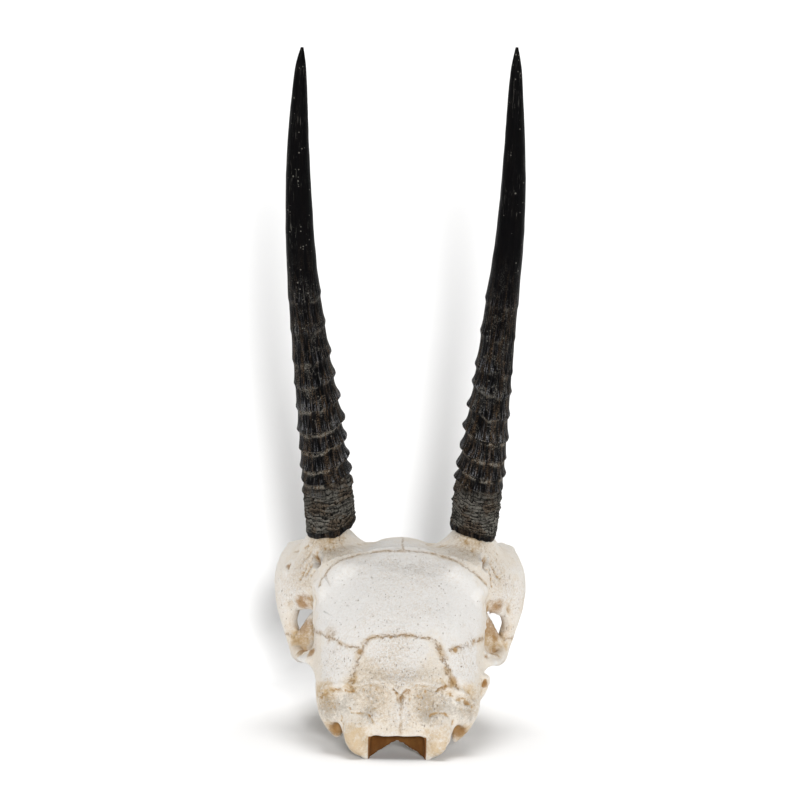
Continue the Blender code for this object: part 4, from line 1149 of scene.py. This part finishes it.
def horn_material(colours):
    specks, mottle = shared_effects()
    made, recipe, shader = new_material("dark_horn", 0.4)
    skin = recipe.stored("skin")["Vector"]
    crust, flaky, raised = recipe.parts(recipe.stored("marks")["Color"])
    distance = recipe.parts(skin, "XYZ")[2]
    where = recipe.add("ShaderNodeTexCoord").outputs["Object"]
    broad = recipe.group(mottle, Vector=where, Scale=110.0)
    small = recipe.group(mottle, Vector=where, Scale=420.0)

    def drawn_out(stretch, scale, detail, rough):
        """A pattern on the horn's skin, stretched along it."""
        return recipe.noise(recipe.stretched(skin, (1.0, 1.0, stretch)), scale, detail, rough)

    streak = drawn_out(0.09, 0.8, 4.0, 0.7)
    thread = drawn_out(0.06, 3.0, 2.0, 0.6)
    crumbs = drawn_out(1.5, 1.9, 5.0, 0.75)
    grains = recipe.noise(skin, 3.2, 2.0, 0.6)
    uneven = recipe.noise(skin, 0.3, 3.0, 0.6)
    lower = recipe.ramp(distance, 50.0, 100.0, 1.0, 0.0)

    # dull brown stains between the rings, which fade out up the horn
    paint = Paint(recipe, colours.horn_black)
    paint.coat(colours.horn_brown, recipe.ramp(streak, 0.47, 0.62), recipe.ramp(crumbs, 0.42, 0.6),
               recipe.scaled(lower, 0.6, 0.02))

    # painted highlights on the fine ridges, brightest just above each lip
    glint = recipe.times(recipe.ramp(thread, 0.53, 0.62), recipe.ramp(grains, 0.4, 0.54),
                         recipe.ramp(broad["Patches"], 0.38, 0.62, 0.4, 0.9),
                         recipe.ramp(raised, 0.02, 0.6, 0.22, 1.0), recipe.scaled(lower, 0.9, 0.05))
    paint.coat(colours.horn_glint, glint)
    paint.coat(colours.horn_tan, recipe.ramp(raised, 0.72, 0.95), recipe.ramp(crumbs, 0.5, 0.6), 0.55)

    # crumbling horn under each lip, and in patches higher up
    ragged = recipe.ramp(uneven, 0.44, 0.56)
    band = recipe.times(crust, recipe.ramp(recipe.plus(crumbs, recipe.times(ragged, 0.1)), 0.5, 0.58))
    crust_colour = recipe.mix(recipe.ramp(streak, 0.44, 0.56), colours.horn_grey, colours.horn_brown)
    paint.coat(crust_colour, band, recipe.scaled(ragged, 0.75, 0.12))
    paint.coat(crust_colour, recipe.ramp(uneven, 0.47, 0.6), recipe.ramp(crumbs, 0.49, 0.58), lower,
               recipe.ramp(distance, 34.0, 46.0, 0.3, 1.0), 0.6)
    paint.coat(colours.horn_tan, crust, ragged, recipe.ramp(grains, 0.5, 0.58), 0.9)

    # thin layers at the foot with black gaps between them, over a black rim
    scaly = recipe.times(flaky, recipe.ramp(recipe.plus(distance, recipe.times(crumbs, 1.6)), 2.4, 3.8))
    sway = recipe.noise(recipe.stretched(skin, (0.06, 0.06, 0.05)), 1.0, 2.0, 0.5)
    level = recipe.plus(recipe.times(distance, 0.7), recipe.times(sway, 8.0), recipe.times(crumbs, 0.9),
                        recipe.times(recipe.noise(skin, 0.7, 2.0, 0.5), 1.6))
    phase = recipe.maths("FRACT", level)
    worn = recipe.noise(recipe.stretched(skin, (0.12, 0.12, 1.0)), 0.9, 3.0, 0.7)
    cracks = drawn_out(0.22, 1.9, 3.0, 0.7)
    leaf = recipe.times(recipe.ramp(phase, 0.08, 0.4), recipe.ramp(cracks, 0.36, 0.5, 0.15, 1.0),
                        recipe.ramp(worn, 0.38, 0.52, 0.25, 1.0), scaly)
    brown = recipe.ramp(recipe.noise(skin, 0.16, 3.0, 0.6), 0.48, 0.58, 0.0, 0.75)
    paint.coat(colours.horn_black, scaly)
    paint.coat(recipe.mix(brown, colours.horn_grey, colours.horn_brown), leaf)
    paint.coat(colours.horn_tan, scaly, recipe.ramp(phase, 0.5, 0.9), recipe.ramp(grains, 0.52, 0.62), 0.7)

    # nicks and scratches in the smooth horn
    nicks = recipe.group(specks, Vector=where, Scale=1250.0, Size=0.33,
                         Density=recipe.ramp(broad["Patches"], 0.45, 0.68, 0.02, 0.3))["Mask"]
    paint.coat(colours.horn_grey, nicks, 0.5)
    paint.coat(colours.horn_grey, recipe.ramp(drawn_out(0.1, 1.6, 3.0, 0.7), 0.6, 0.68),
               recipe.ramp(broad["Patches"], 0.45, 0.6), 0.35)

    recipe.feed(shader["Base Color"], paint.colour)
    dull = recipe.times(recipe.plus(scaly, band), 0.35)
    polish = recipe.ramp(distance, 30.0, 90.0, 0.42, 0.34)
    recipe.feed(shader["Roughness"], recipe.plus(polish, dull, clamp=True))
    recipe.feed(shader["Specular IOR Level"], recipe.scaled(glint, 0.5, 0.02))
    height = recipe.plus(recipe.times(thread, recipe.scaled(lower, 0.75, 0.04)),
                         recipe.times(streak, recipe.scaled(lower, 0.4, 0.03)), recipe.times(leaf, 0.4),
                         recipe.times(crumbs, recipe.plus(scaly, crust), 0.6),
                         recipe.times(small["Grain"], 0.03))
    recipe.feed(shader["Normal"], recipe.bump(height, MM))
    return made


def make_horns(sizes, colours):
    finish = horn_material(colours)
    for side, word in SIDES.items():
        thing = object_of(horn_mesh(side, sizes), "horn_" + word)
        dress(thing, "horn_sheath_" + word, finish)


# Teeth

PALATE_TILT = math.radians(15.4)
LAST_MOLAR_Y = -3.0
CROWN_HEIGHT = 7.5
SOCKET_DEPTH = 3.5
TOOTH_GAP = 0.45

# Cheek teeth from the back: length along the row, width across it, how far out its middle is, and its lobes
CHEEK_TEETH = [
    ("molar_3", 9.6, 7.6, 17.6, 2), ("molar_2", 9.4, 8.6, 17.8, 2), ("molar_1", 8.6, 8.6, 17.0, 2),
    ("premolar_4", 6.8, 7.8, 15.6, 1), ("premolar_3", 6.4, 6.4, 13.9, 1),
    ("premolar_2", 5.6, 5.2, 12.1, 1),
]
TOOTH_SIDES = 56

# From the root's end down to the chewing edge: height over the crown's end, and share of the outline
TOOTH_LEVELS = [
    (CROWN_HEIGHT + SOCKET_DEPTH, 0.6), (CROWN_HEIGHT + 1.0, 0.72), (CROWN_HEIGHT + 0.2, 0.82),
    (CROWN_HEIGHT - 0.7, 0.9), (5.2, 0.95), (3.4, 0.975), (1.8, 0.99), (0.7, 0.99), (0.25, 0.955),
    (0.0, 0.88),
]

# Steps in from the chewing edge: the worn enamel, then the dentine's valleys, with the depth of each
CHEWING_STEPS = [(0.16, 0.05), (0.45, -0.25), (0.5, -0.1)]
CUSP_SHARE = 0.4


def tooth_place(forward, across, up, side):
    """A place in a tooth row: forward of its back end, out from the midline and up from the crowns."""
    cosine, sine = math.cos(PALATE_TILT), math.sin(PALATE_TILT)
    return Vector((side * across, LAST_MOLAR_Y - forward * cosine + up * sine, forward * sine + up * cosine))


def tooth_outline(half_length, half_width, lobes):
    """Places round a crown: ribs on the outer face, round lobes on the inner one."""
    places = []
    for index in range(TOOTH_SIDES):
        turn = math.tau * index / TOOTH_SIDES
        along, across = math.cos(turn), math.sin(turn)
        along = math.copysign(abs(along) ** 0.62, along)
        across = math.copysign(abs(across) ** 0.62, across)
        if across > 0:
            across *= 0.90 + 0.10 * math.cos(along * math.pi * 2 * lobes)
        else:
            across *= 0.86 + 0.14 * abs(math.sin((along + 1) * math.pi / 2 * lobes)) ** 0.6
        places.append((along * half_length, across * half_width))
    return places


def make_tooth(name, side, middle, tooth, cusp, finish):
    """A tooth whose middle lies that far forward of its row's back end."""
    length, width, out, lobes = tooth
    outline = tooth_outline((length - TOOTH_GAP) / 2, width / 2, lobes)
    bm, _, lid = lofted([[tooth_place(middle + along * share, out + across * share, up, side)
                          for along, across in outline] for up, share in TOOTH_LEVELS])
    for thickness, depth in CHEWING_STEPS:
        bmesh.ops.inset_region(bm, faces=[lid], thickness=thickness * MM, depth=depth * MM,
                               use_even_offset=False)
    upward = tooth_place(0, 0, 1, side) - tooth_place(0, 0, 0, side)
    for vert in bmesh.ops.poke(bm, faces=[lid])["verts"]:
        vert.co += upward * cusp * CUSP_SHARE
    bmesh.ops.recalc_face_normals(bm, faces=bm.faces)
    mesh = finished_mesh(bm, name)
    mesh.shade_smooth()
    dress(object_of(mesh, name + "_enamel"), name, finish)


def enamel_material(colours):
    specks, mottle = shared_effects()
    made, recipe, shader = new_material("worn_enamel", 0.3)
    where = recipe.add("ShaderNodeTexCoord").outputs["Object"]
    broad = recipe.group(mottle, Vector=where, Scale=120.0)
    streak = recipe.noise(recipe.stretched(where, (1.0, 1.0, 0.16)), 420.0, 4.0, 0.6)
    pits = recipe.group(specks, Vector=where, Scale=1300.0, Density=0.08, Size=0.3)["Mask"]
    paint = Paint(recipe, colours.enamel)
    paint.coat(colours.ochre, recipe.ramp(streak, 0.44, 0.7))
    paint.coat(colours.tartar, recipe.ramp(broad["Patches"], 0.5, 0.68), recipe.ramp(streak, 0.4, 0.6))
    paint.coat(colours.tartar, pits, 0.6)
    recipe.feed(shader["Base Color"], paint.colour)
    recipe.feed(shader["Roughness"], recipe.ramp(broad["Grain"], 0.3, 0.7, 0.22, 0.45))
    height = recipe.plus(streak, recipe.times(broad["Grain"], 0.6))
    recipe.feed(shader["Normal"], recipe.bump(height, 0.12 * MM))
    return made


def make_teeth(sizes, colours):
    finish = enamel_material(colours)
    for side, word in SIDES.items():
        back = 0.0
        for name, *tooth in CHEEK_TEETH:
            length = tooth[0]
            make_tooth(f"{name}_{word}", side, back + length / 2, tooth, sizes.cusp_height, finish)
            back += length


# Studio

FLOOR_REACH = 12.0
WALL_PLACE = -0.088
WALL_HEIGHT = 3.0
COVE_RADIUS = 0.02
COVE_STEPS = 10
PAPER_GREY = 0.69
ROOM_LIGHT = 0.42

# Lights: turn from straight behind the skull, height over the floor and spread, in degrees, and strength
LIGHTS = {
    "key light": (-4.2, 13.0, 6.5, 1.62),
    "wall light": (-6.0, 13.0, 6.5, 1.1),
    "paper light": (-9.0, 78.0, 32.0, 2.1),
}
PAPER_ONLY = ("wall light", "paper light")

CAMERA_TARGET = (1.0, 45.0, 105.9)
CAMERA_RISE = math.radians(5.0)
CAMERA_ROLL = math.radians(1.03)
CAMERA_DISTANCE = 1200.0
CAMERA_REACH = 20.0
SENSOR_WIDTH = 36.0
PICTURE_WIDTH = 243.2


def paper_material():
    """White paper that can be looked through from behind, so that it never hides the skull."""
    made, recipe, shader = new_material("white_paper", 0.9)
    recipe.feed(shader["Base Color"], (PAPER_GREY, PAPER_GREY, PAPER_GREY))
    recipe.feed(shader["Specular IOR Level"], 0.0)
    out = next(node for node in made.node_tree.nodes if node.type == "OUTPUT_MATERIAL").inputs["Surface"]
    front = out.links[0].from_socket
    behind = recipe.add("ShaderNodeNewGeometry").outputs["Backfacing"]
    clear = recipe.add("ShaderNodeBsdfTransparent").outputs[0]
    recipe.feed(out, recipe.add("ShaderNodeMixShader", {0: behind, 1: front, 2: clear}).outputs[0])
    return made


def pulled(bm, edges, way):
    """Extrudes some edges along way, and gives the new edges that lie across it."""
    made = bmesh.ops.extrude_edge_only(bm, edges=edges)["geom"]
    bmesh.ops.translate(bm, verts=verts_in(made), vec=way)
    return [edge for edge in open_edges_in(made) if abs(edge.verts[0].co.x - edge.verts[1].co.x) > 1]


def make_paper():
    """A sheet of paper that runs under the skull and up behind its snout."""
    bm = bmesh.new()
    cove = WALL_PLACE + COVE_RADIUS
    start = [bm.verts.new((side * FLOOR_REACH, FLOOR_REACH, 0)) for side in (-1, 1)]
    edges = pulled(bm, [bm.edges.new(start)], (0, cove - FLOOR_REACH, 0))
    turned = bmesh.ops.spin(bm, geom=edges + list({vert for edge in edges for vert in edge.verts}),
                            cent=(0, cove, COVE_RADIUS), axis=(-1, 0, 0), angle=math.pi / 2,
                            steps=COVE_STEPS, use_merge=False)["geom_last"]
    pulled(bm, open_edges_in(turned), (0, 0, WALL_HEIGHT))
    # the floor goes on in front of the snout, where only the other sides show it
    near = [bm.verts.new((side * FLOOR_REACH, cove, 0)) for side in (-1, 1)]
    pulled(bm, [bm.edges.new(near)], (0, -FLOOR_REACH, 0))
    bm.normal_update()
    bmesh.ops.reverse_faces(bm, faces=[face for face in bm.faces if face.normal.y + face.normal.z < 0])
    mesh = finished_mesh(bm, "paper")
    mesh.shade_smooth()
    mesh.materials.append(paper_material())
    object_of(mesh, "paper")


def add_light(name):
    """A far soft light, turned from straight behind the skull and raised over the floor."""
    *angles, strength = LIGHTS[name]
    turn, rise, spread = map(math.radians, angles)
    way = Vector((math.sin(turn) * math.cos(rise), math.cos(turn) * math.cos(rise), math.sin(rise)))
    lamp = bpy.data.lights.new(name, "SUN")
    lamp.energy = strength
    lamp.angle = spread
    thing = object_of(lamp, name)
    thing.location = way
    thing.rotation_euler = way.to_track_quat("Z", "Y").to_euler()
    return thing


def make_camera():
    """A camera behind the skull and slightly above it, as the photo's stood."""
    back = Vector((0, math.cos(CAMERA_RISE), math.sin(CAMERA_RISE)))
    lens = bpy.data.cameras.new("camera")
    lens.sensor_width = SENSOR_WIDTH
    lens.lens = SENSOR_WIDTH * CAMERA_DISTANCE / PICTURE_WIDTH
    lens.clip_end = CAMERA_REACH
    camera = object_of(lens, "camera")
    camera.rotation_mode = "QUATERNION"
    camera.rotation_quaternion = Quaternion(back, CAMERA_ROLL) @ (-back).to_track_quat("-Z", "Y")
    camera.location = (Vector(CAMERA_TARGET) + back * CAMERA_DISTANCE) * MM
    bpy.context.scene.camera = camera


def make_stage():
    scene = bpy.context.scene
    make_paper()
    scene.world = bpy.data.worlds.new("studio")
    scene.world.use_nodes = True
    recipe = Recipe(scene.world.node_tree)
    sky = scene.world.node_tree.nodes["Background"].inputs
    recipe.feed(sky["Color"], (1.0, 1.0, 1.0))
    # past the paper's edges the room is as white as the paper, and its light stays soft
    seen = recipe.add("ShaderNodeLightPath").outputs["Is Camera Ray"]
    recipe.feed(sky["Strength"], recipe.scaled(seen, 1.0 - ROOM_LIGHT, ROOM_LIGHT))
    scene.view_settings.view_transform = "Standard"

    lit = bpy.data.collections.new("lit paper")
    lit.objects.link(bpy.data.objects["paper"])
    for name in LIGHTS:
        lamp = add_light(name)
        if name in PAPER_ONLY:
            lamp.light_linking.receiver_collection = lit
    make_camera()


# Operators and panel


class SKULL_OT_stage(bpy.types.Operator):
    """Make the floor, the lights and the camera"""

    bl_idname = "skull.stage"
    bl_label = "Studio"

    def execute(self, context):
        make_stage()
        return {"FINISHED"}


class SKULL_OT_effects(bpy.types.Operator):
    """Make the shader groups that the materials share"""

    bl_idname = "skull.effects"
    bl_label = "Surface Effects"

    def execute(self, context):
        specks_group()
        mottle_group()
        return {"FINISHED"}


class SKULL_OT_cranium(bpy.types.Operator):
    """Make the weathered bone of the cranium"""

    bl_idname = "skull.cranium"
    bl_label = "Cranium"

    def execute(self, context):
        make_cranium(context.scene.skull_sizes, context.scene.skull_colours)
        return {"FINISHED"}


class SKULL_OT_horns(bpy.types.Operator):
    """Make the two ringed horn sheaths"""

    bl_idname = "skull.horns"
    bl_label = "Horn Sheaths"

    def execute(self, context):
        make_horns(context.scene.skull_sizes, context.scene.skull_colours)
        return {"FINISHED"}


class SKULL_OT_teeth(bpy.types.Operator):
    """Make the twelve cheek teeth"""

    bl_idname = "skull.teeth"
    bl_label = "Cheek Teeth"

    def execute(self, context):
        make_teeth(context.scene.skull_sizes, context.scene.skull_colours)
        return {"FINISHED"}


STEPS = (SKULL_OT_stage, SKULL_OT_effects, SKULL_OT_cranium, SKULL_OT_horns, SKULL_OT_teeth)


class SKULL_PT_panel(bpy.types.Panel):
    """Lists the skull's sizes, colours and steps"""

    bl_label = "Skull"
    bl_idname = "SKULL_PT_panel"
    bl_space_type = "VIEW_3D"
    bl_region_type = "UI"
    bl_category = "Skull"

    def draw(self, context):
        for group in (context.scene.skull_sizes, context.scene.skull_colours):
            box = self.layout.box()
            for name in group.bl_rna.properties.keys():
                if name not in ("rna_type", "name"):
                    box.prop(group, name)
        for step in STEPS:
            self.layout.operator(step.bl_idname)


CLASSES = (SkullSizes, SkullColours, *STEPS, SKULL_PT_panel)


def register():
    for item in CLASSES:
        bpy.utils.register_class(item)
    bpy.types.Scene.skull_sizes = bpy.props.PointerProperty(type=SkullSizes)
    bpy.types.Scene.skull_colours = bpy.props.PointerProperty(type=SkullColours)


def unregister():
    del bpy.types.Scene.skull_colours
    del bpy.types.Scene.skull_sizes
    for item in reversed(CLASSES):
        bpy.utils.unregister_class(item)


def main():
    register()
    for step in STEPS:
        family, name = step.bl_idname.split(".")
        getattr(getattr(bpy.ops, family), name)()


if __name__ == "__main__":
    main()
